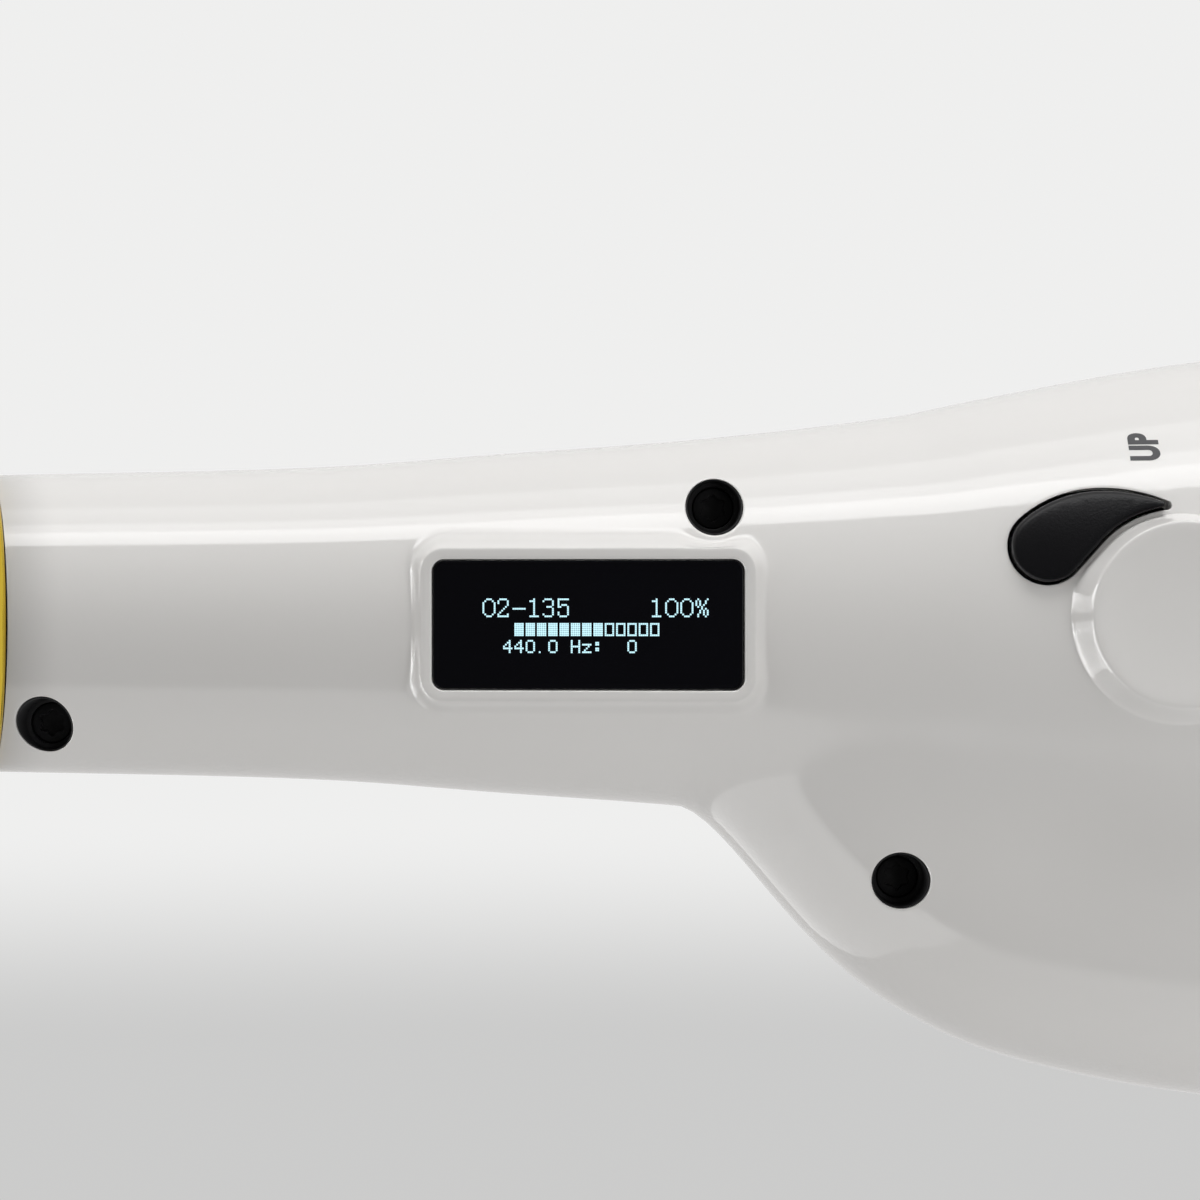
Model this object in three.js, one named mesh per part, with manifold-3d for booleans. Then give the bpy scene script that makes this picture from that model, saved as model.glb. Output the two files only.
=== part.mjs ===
// Digital wind controller in the shape of a saxophone: a moulded two-part body with finger keys,
// a curved neck with a mouthpiece, and a bow that turns up into a bell with a loudspeaker.
// Millimetres, +Z up along the body. The player's side, with the display, faces -Y, and the
// player's right hand is at +X. The origin is the centre of the strap ring's eye.
import * as THREE from 'three';
import Module from 'manifold-3d';
import { mergeVertices } from 'three/addons/utils/BufferGeometryUtils.js';

const wasm = await Module();
wasm.setup();

// Body casing. A station is a distance down the body from the neck joint, and each is a share of the
// body's length.
const bodyLength = 470;
const topRadius = 14.6;
const footRadius = 31;
const wall = 2.2;
const fit = 0.3;
const seamOffset = 3;
const neckTilt = 17;
const neckJointLift = 3.7;
const overrun = 4;

// Display
const screenStation = 0.1164 * bodyLength;
const lensLength = 28.8;
const lensWidth = 11.9;
const lensCorner = 1;
const lensThickness = 1.2;
const lensSetBack = 0.25;
const bezelBorder = 1.1;
const bezelHeight = 1;
const bezelFlank = 1;
const ledgeThickness = 0.6;
const ledgeWidth = 1.6;
const panelFrame = 1.2;
const panelLength = 30;
const panelWidth = 11.5;
const panelThickness = 1.5;

// Thumb rest and octave keys
const thumbStation = 0.2349 * bodyLength;
const thumbRestRadius = 10.3;
const thumbRestHeight = 2;
const thumbRestDish = 0.5;
const octaveHeadRadius = 3.85;
const octaveHeadAngle = 60.2;
const octaveRestGap = 0.5;
const octaveTailGap = 1.3;
const octaveRise = 1;

// Finger keys
const keyTravel = 1.5;
const keyRise = 3;
const keyBevel = 0.8;
const keyDish = 0.5;
const keyFlangeReach = 1.2;
const keyFlangeThickness = 1.2;
const leftHandStation = 0.2809 * bodyLength;
const leftHandPitch = 27;
const rightHandStation = 0.5574 * bodyLength;
const rightHandPitch = 25;
const fingerKeyRadius = 8;
const smallKeyRadius = 4;
const palmStation = 0.2851 * bodyLength;
const palmPitch = 23;
const palmKeyLength = 18;
const palmKeyWidth = 9;
const tableStation = 0.4745 * bodyLength;
const tablePitch = 17;
const tableKeyLength = 14;
const tableKeyWidth = 12;
const tableKeyCorner = 2.5;
const sideKeyStation = 0.5362 * bodyLength;
const sideKeyPitch = 21;
const sideKeyLength = 17;
const sideKeyWidth = 7;
const rollerStation = 0.7489 * bodyLength;
const rollerPitch = 14;
const rollerKeyLength = 10;
const rollerKeyWidth = 16;
const buttonRadius = 3;
const buttonRise = 0.8;
const buttonTravel = 0.8;
const menuStation = 0.5574 * bodyLength;
const menuPitch = 12;
const powerStation = 0.8468 * bodyLength;

// Casing screws
const wellRadius = 2.7;
const wellDepth = 4;
const wellWall = 1.4;
const wellFloor = 2;
const screwHeadRadius = 1.95;
const screwHeadHeight = 1.5;
const screwRadius = 1.25;
const screwBite = 7;
const postWall = 1.5;
const postStep = 0.9;
// Each screw's place as a share of the body's length, and its distance to the player's right of the
// axis as a share of the body's radius there
const screwPlaceShares = [
  [0.0087, -0.63], [0.1415, 0.607], [0.1787, -1.19], [0.4723, 0], [0.7128, 0], [0.9043, 0],
];

// Neck, cork and mouthpiece
const ringHeight = 6;
const ringProud = 0.8;
const neckStraight = 12;
const neckBendRadius = 75;
const neckEndAngle = 75;
const neckEndStraight = 14;
const neckEndRadius = 11;
const neckWall = 2;
const tenonLength = 26;
const tenonRadius = 7.6;
const tenonBore = 3.2;
const corkThickness = 1.2;
const corkLength = 20;
const mouthpieceLength = 92;
const mouthpieceRadius = 13;
const mouthpieceTipWidth = 16;
const mouthpieceTipThickness = 2;
const mouthpieceTable = 8.6;
const mouthpieceSocket = 27;
const chamberRadius = 5.5;
const reedLength = 66;
const reedWidth = 13;
const reedThickness = 3;
const reedTipThickness = 0.5;
const reedTipGap = 1;

// Bow and bell
const footRingHeight = 8;
const footRingProud = 1.2;
const bowRadius = 46;
const bowTurn = 170;
const bowEndRadius = 36;
const bellLength = 104;
const bellRimRadius = 58;
const bellWall = 2.4;
const rimBead = 2.4;
const grilleDepth = 38;
const grilleThickness = 1.6;
const grilleSlotWidth = 3;
const grilleLedge = 2;
const speakerDepth = 16;
const speakerMagnetRadius = 14;

// Strap ring and right thumb hook
const strapStation = 0.3936 * bodyLength;
const strapEyeRadius = 4;
const strapEyeWall = 2.6;
const strapEyeThickness = 4;
const strapEyeReach = 7.5;
const strapFootLength = 24;
const strapFootWidth = 11;
const strapFootHeight = 1.8;
const hookStation = 0.6383 * bodyLength;
const hookPlateLength = 34;
const hookPlateWidth = 16;
const hookPlateHeight = 2.4;
const hookThickness = 2.6;
const hookRadius = 12;
const hookFootLength = 20;
const hookTravel = 6;
const hookRailWidth = 2;
const hookRailHeight = 2.2;
const hookScrewRadius = 4;
const hookScrewHeight = 4;

// Electronics and sockets
const sensorBoardWidth = 17;
const boardThickness = 1.6;
const sensorBoardClearance = 1;
const mainBoardWidth = 32;
const mainBoardTop = 0.2894 * bodyLength;
const mainBoardBottom = 0.734 * bodyLength;
const mainBoardLevel = 3;
const chipLength = 12;
const chipHeight = 1.4;
const cellRadius = 9.15;
const cellLength = 49.8;
const cellGap = 5;
const hoseRadius = 2.4;
const hoseBore = 1.2;
const breathStation = 0.0511 * bodyLength;
const breathLength = 11;
const breathWidth = 10;
const breathHeight = 6;
const socketStation = 0.9489 * bodyLength;
const socketAngle = 34;
const usbWidth = 8.34;
const usbHeight = 2.56;
const usbTongue = 0.7;
const jackHoleRadius = 1.8;
const socketDepth = 9;
const socketRim = 1.4;
const socketRise = 0.7;

// Facet counts
const bodySides = 20;
const roundSides = 12;
const boreSides = 8;
const largeSides = 20;
const neckSides = 16;
const cornerSteps = 2;

// Radius of the body: shares of its length against shares of the step from top to foot
const bodyProfileShares = [
  [-0.05, -0.02], [0, 0], [0.06, 0.043], [0.098, 0.122], [0.138, 0.207], [0.179, 0.341],
  [0.198, 0.45], [0.238, 0.652], [0.287, 0.787], [0.34, 0.854], [0.426, 0.878], [0.638, 0.878],
  [0.851, 0.939], [1, 1], [1.05, 1],
];
// Where the rows of the body's loft lie, as shares of its length
const bodyRowShares = [
  -0.03, 0.05, 0.1, 0.135, 0.145, 0.155, 0.17, 0.19, 0.21, 0.24, 0.27, 0.31, 0.36, 0.41, 0.45, 0.5,
  0.56, 0.605, 0.65, 0.8, 1,
];
// Swellings of the body: the palm keys' pod, the little finger's table and the side keys' land.
// Each starts steeply at a share of the body's length, evens out over the next share, and falls
// between the last two.
const podHeight = 20.5;
const landHeight = 4;
const risePower = 1.6;
const shoulderPower = 3;
const swellings = [
  { height: podHeight, angle: -95, spread: 40, riseShares: [0.1351, 0.0306], fallShares: [0.323, 0.455] },
  { height: landHeight, angle: -135, spread: 32, riseShares: [0.404, 0.015], fallShares: [0.511, 0.557] },
  { height: landHeight, angle: 110, spread: 24, riseShares: [0.455, 0.015], fallShares: [0.604, 0.651] },
];

const degrees = THREE.MathUtils.degToRad;
const fullTurn = 2 * Math.PI;

// Materials
function finish(color, roughness, metalness = 0) {
  return new THREE.MeshStandardMaterial({ color, roughness, metalness });
}
const whiteShell = finish('#dedcd8', 0.2);
const goldPlate = finish('#c9a227', 0.12, 1);
const keyBlack = finish('#17181a', 0.42);
const glossBlack = finish('#050507', 0.06);
const screwBlack = finish('#121214', 0.4, 0.9);
const corkBrown = finish('#b58a5c', 0.9);
const reedCane = finish('#1c1c1e', 0.3);
const boardGreen = finish('#1f5b3a', 0.5);
const steel = finish('#b7babd', 0.3, 1);
const rubberGrey = finish('#3a3b3d', 0.8);
const cellBlue = finish('#2f5f9e', 0.4);

// Turns a closed geometry into a solid for cutting and joining. Faces that shrink to nothing where
// a revolved profile meets its axis are left out.
function solidOf(geometry, matrix = new THREE.Matrix4()) {
  const bare = geometry.clone().applyMatrix4(matrix);
  bare.deleteAttribute('normal');
  bare.deleteAttribute('uv');
  const merged = mergeVertices(bare);
  const corners = merged.index.array;
  const faces = [];
  for (let first = 0; first < corners.length; first += 3) {
    const [a, b, c] = corners.slice(first, first + 3);
    if (a !== b && b !== c && c !== a) {
      faces.push(a, b, c);
    }
  }
  return new wasm.Manifold(new wasm.Mesh({
    numProp: 3,
    vertProperties: new Float32Array(merged.attributes.position.array),
    triVerts: new Uint32Array(faces),
  }));
}

function geometryOf(solid) {
  const mesh = solid.getMesh();
  const geometry = new THREE.BufferGeometry();
  geometry.setAttribute('position', new THREE.BufferAttribute(mesh.vertProperties, 3));
  geometry.setIndex(new THREE.BufferAttribute(mesh.triVerts, 1));
  return geometry;
}

// Closed body through outlines that all have the same number of points, each at its own height
function stack(levels) {
  const count = levels[0].points.length;
  const positions = [];
  const index = [];
  for (const { points, height } of levels) {
    for (const point of points) {
      positions.push(point.x, point.y, height);
    }
  }
  for (let level = 1; level < levels.length; level += 1) {
    for (let side = 0; side < count; side += 1) {
      const next = (side + 1) % count;
      const low = (level - 1) * count;
      const high = level * count;
      index.push(low + side, low + next, high + next, low + side, high + next, high + side);
    }
  }
  const last = (levels.length - 1) * count;
  for (const [a, b, c] of THREE.ShapeUtils.triangulateShape(levels[0].points, [])) {
    index.push(c, b, a);
  }
  for (const [a, b, c] of THREE.ShapeUtils.triangulateShape(levels.at(-1).points, [])) {
    index.push(last + a, last + b, last + c);
  }
  const geometry = new THREE.BufferGeometry();
  geometry.setAttribute('position', new THREE.Float32BufferAttribute(positions, 3));
  geometry.setIndex(index);
  return geometry;
}

// Straight prism of one outline between two heights
function prism(points, low, high) {
  return stack([{ points, height: low }, { points, height: high }]);
}

// Body of revolution about Z from pairs of radius and height that start and end on the axis
function turned(pairs, sides = roundSides) {
  const profile = pairs.map(([radius, height]) => new THREE.Vector2(radius, height));
  return new THREE.LatheGeometry(profile, sides).rotateX(degrees(90));
}

// Ring of revolution about Z whose section closes on itself
function turnedRing(pairs, sides = largeSides) {
  return turned([...pairs, pairs[0]], sides);
}

function cylinder(radius, low, high, sides = roundSides) {
  return turned([[0, low], [radius, low], [radius, high], [0, high]], sides);
}

function block(width, depth, height) {
  return new THREE.BoxGeometry(width, depth, height);
}

// Outlines. Each is a function of how much the outline grows on all sides.
function roundOutline(radius, sides = roundSides) {
  return (grow = 0) => {
    const points = [];
    for (let side = 0; side < sides; side += 1) {
      const angle = (side / sides) * fullTurn;
      points.push(new THREE.Vector2(Math.cos(angle), Math.sin(angle)).multiplyScalar(radius + grow));
    }
    return points;
  };
}

function arcPoints(centre, radius, from, to, steps) {
  const points = [];
  for (let step = 0; step <= steps; step += 1) {
    const angle = THREE.MathUtils.lerp(from, to, step / steps);
    const spoke = new THREE.Vector2(Math.cos(angle), Math.sin(angle)).multiplyScalar(radius);
    points.push(spoke.add(centre));
  }
  return points;
}

// Rounded rectangle, width along x and length along y
function tileOutline(width, length, corner) {
  return (grow = 0) => {
    const bend = Math.max(corner + grow, corner / 4);
    const points = [];
    for (let quarter = 0; quarter < 4; quarter += 1) {
      const start = degrees(90 * quarter);
      const right = quarter === 0 || quarter === 3 ? 1 : -1;
      const up = quarter < 2 ? 1 : -1;
      const x = right * (width / 2 + grow - bend);
      const y = up * (length / 2 + grow - bend);
      const centre = new THREE.Vector2(x, y);
      points.push(...arcPoints(centre, bend, start, start + degrees(90), cornerSteps));
    }
    return points;
  };
}

// Drop along y: a wide round head at the top and a narrower round tail at the bottom
function dropOutline(length, headRadius, tailRadius, lean = 0) {
  return (grow = 0) => {
    const run = length - headRadius - tailRadius;
    const slope = Math.asin((headRadius - tailRadius) / run);
    const head = new THREE.Vector2(0, length / 2 - headRadius);
    const tail = new THREE.Vector2(0, tailRadius - length / 2);
    const half = degrees(180);
    const points = [
      ...arcPoints(head, headRadius + grow, -slope, half + slope, 2 * cornerSteps + 1),
      ...arcPoints(tail, tailRadius + grow, half + slope, fullTurn - slope, 2 * cornerSteps - 1),
    ];
    return points.map((point) => point.rotateAround(new THREE.Vector2(), degrees(lean)));
  };
}

// Body form
function zAt(station) {
  return strapStation - station;
}

// Smooth curve through the profile's shares
function radiusAt(station) {
  const share = station / bodyLength;
  const rows = bodyProfileShares;
  const last = rows.length - 2;
  const found = rows.findIndex((row) => row[0] > share) - 1;
  const row = THREE.MathUtils.clamp(found < 0 && share > 0 ? last : found, 1, last - 1);
  const [before, low, high, after] = [rows[row - 1], rows[row], rows[row + 1], rows[row + 2]];
  const width = high[0] - low[0];
  const t = (share - low[0]) / width;
  const slopeLow = ((high[1] - before[1]) / (high[0] - before[0])) * width;
  const slopeHigh = ((after[1] - low[1]) / (after[0] - low[0])) * width;
  const cubic = (2 * t ** 3 - 3 * t ** 2 + 1) * low[1] + (t ** 3 - 2 * t ** 2 + t) * slopeLow
    + (3 * t ** 2 - 2 * t ** 3) * high[1] + (t ** 3 - t ** 2) * slopeHigh;
  return THREE.MathUtils.lerp(topRadius, footRadius, cubic);
}

function swellingAt(swelling, station, angle) {
  const [start, easing] = swelling.riseShares;
  const steps = Math.max((station / bodyLength - start) / easing, 0);
  const rise = 1 - Math.exp(-(steps ** risePower));
  const fall = 1 - THREE.MathUtils.smoothstep(station / bodyLength, ...swelling.fallShares);
  const away = Math.abs(THREE.MathUtils.euclideanModulo(angle - swelling.angle + 180, 360) - 180);
  return swelling.height * rise * fall * Math.exp(-((away / swelling.spread) ** shoulderPower));
}

// Point of the body's outer form grown by a distance, in x and y. Angles start at the rear and grow
// to the right.
function formPoint(station, angle, grow = 0) {
  const swell = swellings.reduce((sum, each) => sum + swellingAt(each, station, angle), 0);
  const reach = radiusAt(station) + swell + grow;
  return new THREE.Vector2(Math.sin(degrees(angle)), -Math.cos(degrees(angle))).multiplyScalar(reach);
}

const bodyRows = bodyRowShares.map((share) => share * bodyLength);
const sideAngle = 360 / bodySides;

// The same on the facets of the loft, which runs straight between its rows and its sides
function skinPoint(station, angle, grow = 0) {
  const found = bodyRows.findIndex((row) => row > station);
  const row = THREE.MathUtils.clamp(found < 0 ? bodyRows.length : found, 1, bodyRows.length - 1);
  const along = (station - bodyRows[row - 1]) / (bodyRows[row] - bodyRows[row - 1]);
  const side = Math.floor(angle / sideAngle);
  const corner = (turn) => formPoint(bodyRows[row - 1], turn * sideAngle, grow)
    .lerp(formPoint(bodyRows[row], turn * sideAngle, grow), along);
  const start = corner(side);
  const edge = corner(side + 1).sub(start);
  const ray = new THREE.Vector2(Math.sin(degrees(angle)), -Math.cos(degrees(angle)));
  return start.addScaledVector(edge, -ray.cross(start) / ray.cross(edge));
}

// The body's outer form grown or shrunk, as a closed solid
function bodySolid(grow) {
  const levels = [...bodyRows].reverse().map((station) => {
    const points = [];
    for (let side = 0; side < bodySides; side += 1) {
      points.push(formPoint(station, side * sideAngle, grow));
    }
    return { points, height: zAt(station) };
  });
  levels[0].height -= grow < 0 ? overrun : 0;
  levels.at(-1).height += grow < 0 ? overrun : 0;
  return solidOf(stack(levels));
}

// Angle at which the rear skin lies a given distance to the right of the axis
function angleAtSide(station, side) {
  let low = -90;
  let high = 90;
  for (let round = 0; round < 30; round += 1) {
    const middle = (low + high) / 2;
    if (skinPoint(station, middle).x < side) {
      low = middle;
    } else {
      high = middle;
    }
  }
  return (low + high) / 2;
}

// Frame on the skin: z is the skin's normal and y points up the body
function skinFrame(station, angle) {
  const spot = (down, turn) => {
    const point = formPoint(station + down, angle + turn);
    return new THREE.Vector3(point.x, point.y, zAt(station + down));
  };
  const place = skinPoint(station, angle);
  const across = spot(0, 1).sub(spot(0, -1));
  const along = spot(-1, 0).sub(spot(1, 0));
  const out = new THREE.Vector3().crossVectors(across, along).normalize();
  const up = new THREE.Vector3(0, 0, 1).projectOnPlane(out).normalize();
  const right = new THREE.Vector3().crossVectors(up, out);
  return new THREE.Matrix4().makeBasis(right, up, out).setPosition(place.x, place.y, zAt(station));
}

// Frame on the body's axis whose z points straight at the player and whose y points up the body.
// Heights in it are distances from the axis towards the player.
function throughFrame(station, side = 0) {
  const right = new THREE.Vector3(1, 0, 0);
  const up = new THREE.Vector3(0, 0, 1);
  const rear = new THREE.Vector3(0, -1, 0);
  return new THREE.Matrix4().makeBasis(right, up, rear).setPosition(side, 0, zAt(station));
}

function rearHeight(station, side = 0) {
  return -skinPoint(station, angleAtSide(station, side)).y;
}

// Depth below a spot of the skin at which the inner skin lies, over a half width and half length
function innerDepth(frame, station, angle, halfWidth, halfLength) {
  const toFrame = frame.clone().invert();
  const inside = skinPoint(station, angle).length() - wall;
  const spread = THREE.MathUtils.radToDeg(Math.asin(halfWidth / inside));
  const sampleShares = [-1, -0.75, -0.5, -0.25, 0, 0.25, 0.5, 0.75, 1];
  let depth = wall;
  for (const along of sampleShares) {
    for (const across of sampleShares) {
      const down = along * halfLength;
      const point = skinPoint(station + down, angle + across * spread, -wall);
      const local = new THREE.Vector3(point.x, point.y, zAt(station + down)).applyMatrix4(toFrame);
      depth = Math.max(depth, -local.z);
    }
  }
  return depth;
}

const instrument = new THREE.Group();
const body = new THREE.Group();
body.position.y = rearHeight(strapStation) + strapEyeReach;
instrument.add(body);

function addMesh(name, geometry, material, matrix = new THREE.Matrix4(), parent = body) {
  const mesh = new THREE.Mesh(geometry, material);
  mesh.name = name;
  mesh.applyMatrix4(matrix);
  parent.add(mesh);
  return mesh;
}

// Keys that pass through an opening of the casing and are kept in by an inner flange. The result
// is how far in front of the axis the pressed key's flange stays.
const casingOpenings = [];

function addKey(name, station, angle, outline, options = {}) {
  const { rise = keyRise, travel = keyTravel, dish = keyDish, bevel = keyBevel } = options;
  const frame = skinFrame(station, angle);
  const flange = outline(keyFlangeReach);
  const halfWidth = Math.max(...flange.map((point) => Math.abs(point.x)));
  const halfLength = Math.max(...flange.map((point) => Math.abs(point.y)));
  const sink = innerDepth(frame, station, angle, halfWidth, halfLength) + fit;
  const bottom = -sink - keyFlangeThickness;
  const levels = [
    { points: flange, height: bottom },
    { points: flange, height: -sink },
    { points: outline(), height: -sink },
    { points: outline(), height: rise - bevel },
    { points: outline(-bevel), height: rise },
    { points: outline(-2 * bevel), height: rise - dish },
  ];
  addMesh(name, stack(levels), keyBlack, frame);
  casingOpenings.push(solidOf(prism(outline(fit), bottom - travel, rise + overrun), frame));
  const pressed = flange.map((point) => new THREE.Vector3(point.x, point.y, bottom - travel));
  return Math.min(...pressed.map((point) => point.applyMatrix4(frame).y));
}

const fingerKey = roundOutline(fingerKeyRadius, roundSides);
const smallKey = roundOutline(smallKeyRadius, boreSides);
const palmKey = dropOutline(palmKeyLength, palmKeyWidth / 2, palmKeyWidth / 3, 12);
const sideKey = dropOutline(sideKeyLength, sideKeyWidth / 2, sideKeyWidth / 2);
const tableKey = tileOutline(tableKeyWidth, tableKeyLength, tableKeyCorner);
const rollerKey = tileOutline(rollerKeyWidth, rollerKeyLength, tableKeyCorner);
const roundButton = roundOutline(buttonRadius, boreSides);

// The front keys stand in a row, and the sensor board lies below the deepest of them
const frontKeys = [
  ['front_f_key', leftHandStation - 0.8 * leftHandPitch, 180, smallKey],
  ['b_key', leftHandStation, 180, fingerKey],
  ['bis_key', leftHandStation + 0.5 * leftHandPitch, 158, smallKey],
  ['a_key', leftHandStation + leftHandPitch, 180, fingerKey],
  ['g_key', leftHandStation + 2 * leftHandPitch, 180, fingerKey],
  ['f_key', rightHandStation, 180, fingerKey],
  ['e_key', rightHandStation + rightHandPitch, 180, fingerKey],
  ['d_key', rightHandStation + 2 * rightHandPitch, 180, fingerKey],
];
const frontDepths = frontKeys.map((key) => addKey(...key));
const sensorBoardLevel = Math.min(...frontDepths) - sensorBoardClearance;

addKey('high_f_sharp_key', rightHandStation + 0.5 * rightHandPitch, 146, smallKey);
['palm_f_key', 'palm_d_sharp_key', 'palm_d_key'].forEach((name, place) => {
  addKey(name, palmStation + (place - 1) * palmPitch, -112, palmKey);
});
['side_e_key', 'side_c_key', 'side_b_flat_key'].forEach((name, place) => {
  addKey(name, sideKeyStation + (place - 1) * sideKeyPitch, 110, sideKey);
});
[['g_sharp_key', -112, -1], ['low_c_sharp_key', -112, 1], ['low_b_key', -153, -1],
  ['low_b_flat_key', -153, 1]].forEach(([name, angle, side]) => {
  addKey(name, tableStation + (side * tablePitch) / 2, angle, tableKey);
});
[['low_e_flat_key', -1], ['low_c_key', 1]].forEach(([name, side]) => {
  addKey(name, rollerStation + (side * rollerPitch) / 2, 148, rollerKey);
});
const buttonForm = { rise: buttonRise, travel: buttonTravel, dish: 0, bevel: buttonRise / 2 };
addKey('menu_plus_button', menuStation, 36, roundButton, buttonForm);
addKey('menu_minus_button', menuStation + menuPitch, 36, roundButton, buttonForm);
addKey('power_button', powerStation, 0, roundButton, buttonForm);

// Octave keys: a comma whose hollow side runs round the thumb rest. Points are taken from the
// thumb rest's centre, x to the player's right and y up the body.
const octaveReach = thumbRestRadius + octaveRestGap;
const octaveHead = new THREE.Vector2(octaveReach + octaveHeadRadius, 0)
  .rotateAround(new THREE.Vector2(), degrees(octaveHeadAngle));
const octaveCrown = new THREE.Vector2(0.645 * octaveHead.x, 0.753 * octaveHead.y);
const octaveBack = new THREE.Vector2(0, 0.56 * octaveHead.y);

function directionTo(from, to) {
  return Math.atan2(to.y - from.y, to.x - from.x);
}

function octaveOutline(grow = 0) {
  const middle = new THREE.Vector2();
  const crownRadius = octaveHeadRadius + octaveHead.distanceTo(octaveCrown);
  const backRadius = crownRadius + octaveCrown.distanceTo(octaveBack);
  const tail = octaveTailGap - grow;
  const tailOutside = Math.asin((tail - octaveBack.y) / (backRadius + grow));
  const tailInside = Math.asin(tail / (octaveReach - grow));
  const backEnd = directionTo(octaveBack, octaveCrown);
  const crownEnd = directionTo(octaveCrown, octaveHead);
  const headEnd = degrees(180 + octaveHeadAngle);
  const hollowStart = degrees(octaveHeadAngle);
  return [
    ...arcPoints(octaveBack, backRadius + grow, tailOutside, backEnd, 5),
    ...arcPoints(octaveCrown, crownRadius + grow, backEnd, crownEnd, 2).slice(1),
    ...arcPoints(octaveHead, octaveHeadRadius + grow, crownEnd, headEnd, 8).slice(1),
    ...arcPoints(middle, octaveReach - grow, hollowStart, tailInside, 6).slice(1),
  ];
}

function mirroredDown(points) {
  return points.map((point) => new THREE.Vector2(point.x, -point.y)).reverse();
}

const outerForm = bodySolid(0);
const innerForm = bodySolid(-wall);
const skinForm = bodySolid(-wall / 2);
const outerClearance = bodySolid(fit);
const thumbFrame = throughFrame(thumbStation);

function addOctaveKey(name, shape) {
  const high = rearHeight(thumbStation) + octaveRise + overrun;
  const column = (grow, low) => solidOf(prism(shape(grow), low, high), thumbFrame);
  const keyBottom = bodySolid(-wall - fit - keyFlangeThickness);
  const cap = column(0, 0).intersect(bodySolid(octaveRise));
  const flange = column(keyFlangeReach, 0).intersect(bodySolid(-wall - fit));
  addMesh(name, geometryOf(cap.add(flange).subtract(keyBottom)), keyBlack);
  casingOpenings.push(column(fit, 0));
}
addOctaveKey('octave_up_key', octaveOutline);
addOctaveKey('octave_down_key', (grow) => mirroredDown(octaveOutline(grow)));

// Bezel, lens and display panel, square to the slope of the skin under them
const screenFrame = skinFrame(screenStation, 0);
const lensOutline = tileOutline(lensWidth, lensLength, lensCorner);
const bezelOutline = tileOutline(
  lensWidth + 2 * bezelBorder,
  lensLength + 2 * bezelBorder,
  lensCorner + bezelBorder,
);
const panelOutline = tileOutline(panelWidth, panelLength, panelFrame / 2);
const lensTop = bezelHeight - lensSetBack;
const lensBottom = lensTop - lensThickness;
const ledgeTop = lensBottom - fit;
const ledgeBottom = ledgeTop - ledgeThickness;
const panelTop = ledgeBottom - fit;
const panelBottom = panelTop - panelThickness;
const bezelEdge = bezelFlank / 2;
const bezel = solidOf(stack([
  { points: bezelOutline(2 * bezelFlank), height: panelBottom },
  { points: bezelOutline(bezelFlank), height: 0 },
  { points: bezelOutline(), height: bezelHeight - bezelEdge },
  { points: bezelOutline(-bezelEdge / 2), height: bezelHeight },
]), screenFrame);
const panelHolder = solidOf(prism(panelOutline(fit + panelFrame), panelBottom, 0), screenFrame);
addMesh('display_lens', prism(lensOutline(), lensBottom, lensTop), glossBlack, screenFrame);
addMesh('display_panel', prism(panelOutline(), panelBottom, panelTop), glossBlack, screenFrame);
casingOpenings.push(solidOf(prism(lensOutline(fit), ledgeTop, lensTop + overrun), screenFrame));
casingOpenings.push(solidOf(prism(lensOutline(-ledgeWidth), panelTop, lensTop), screenFrame));
casingOpenings.push(
  solidOf(prism(panelOutline(fit), panelBottom - overrun, ledgeBottom), screenFrame),
);

// Thumb rest, raised on the casing and dished
const thumbRim = thumbRestRadius - thumbRestHeight / 5;
const thumbTop = rearHeight(thumbStation) + thumbRestHeight;
const thumbRest = solidOf(turned([
  [0, 0],
  [thumbRestRadius, 0],
  [thumbRestRadius, thumbTop - 1.5 * thumbRestHeight],
  [thumbRim, thumbTop - 0.4 * thumbRestHeight],
  [0.93 * thumbRim, thumbTop],
  [0.82 * thumbRim, thumbTop],
  [0.5 * thumbRim, thumbTop - thumbRestDish],
  [0, thumbTop - thumbRestDish],
], largeSides), thumbFrame);

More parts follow.
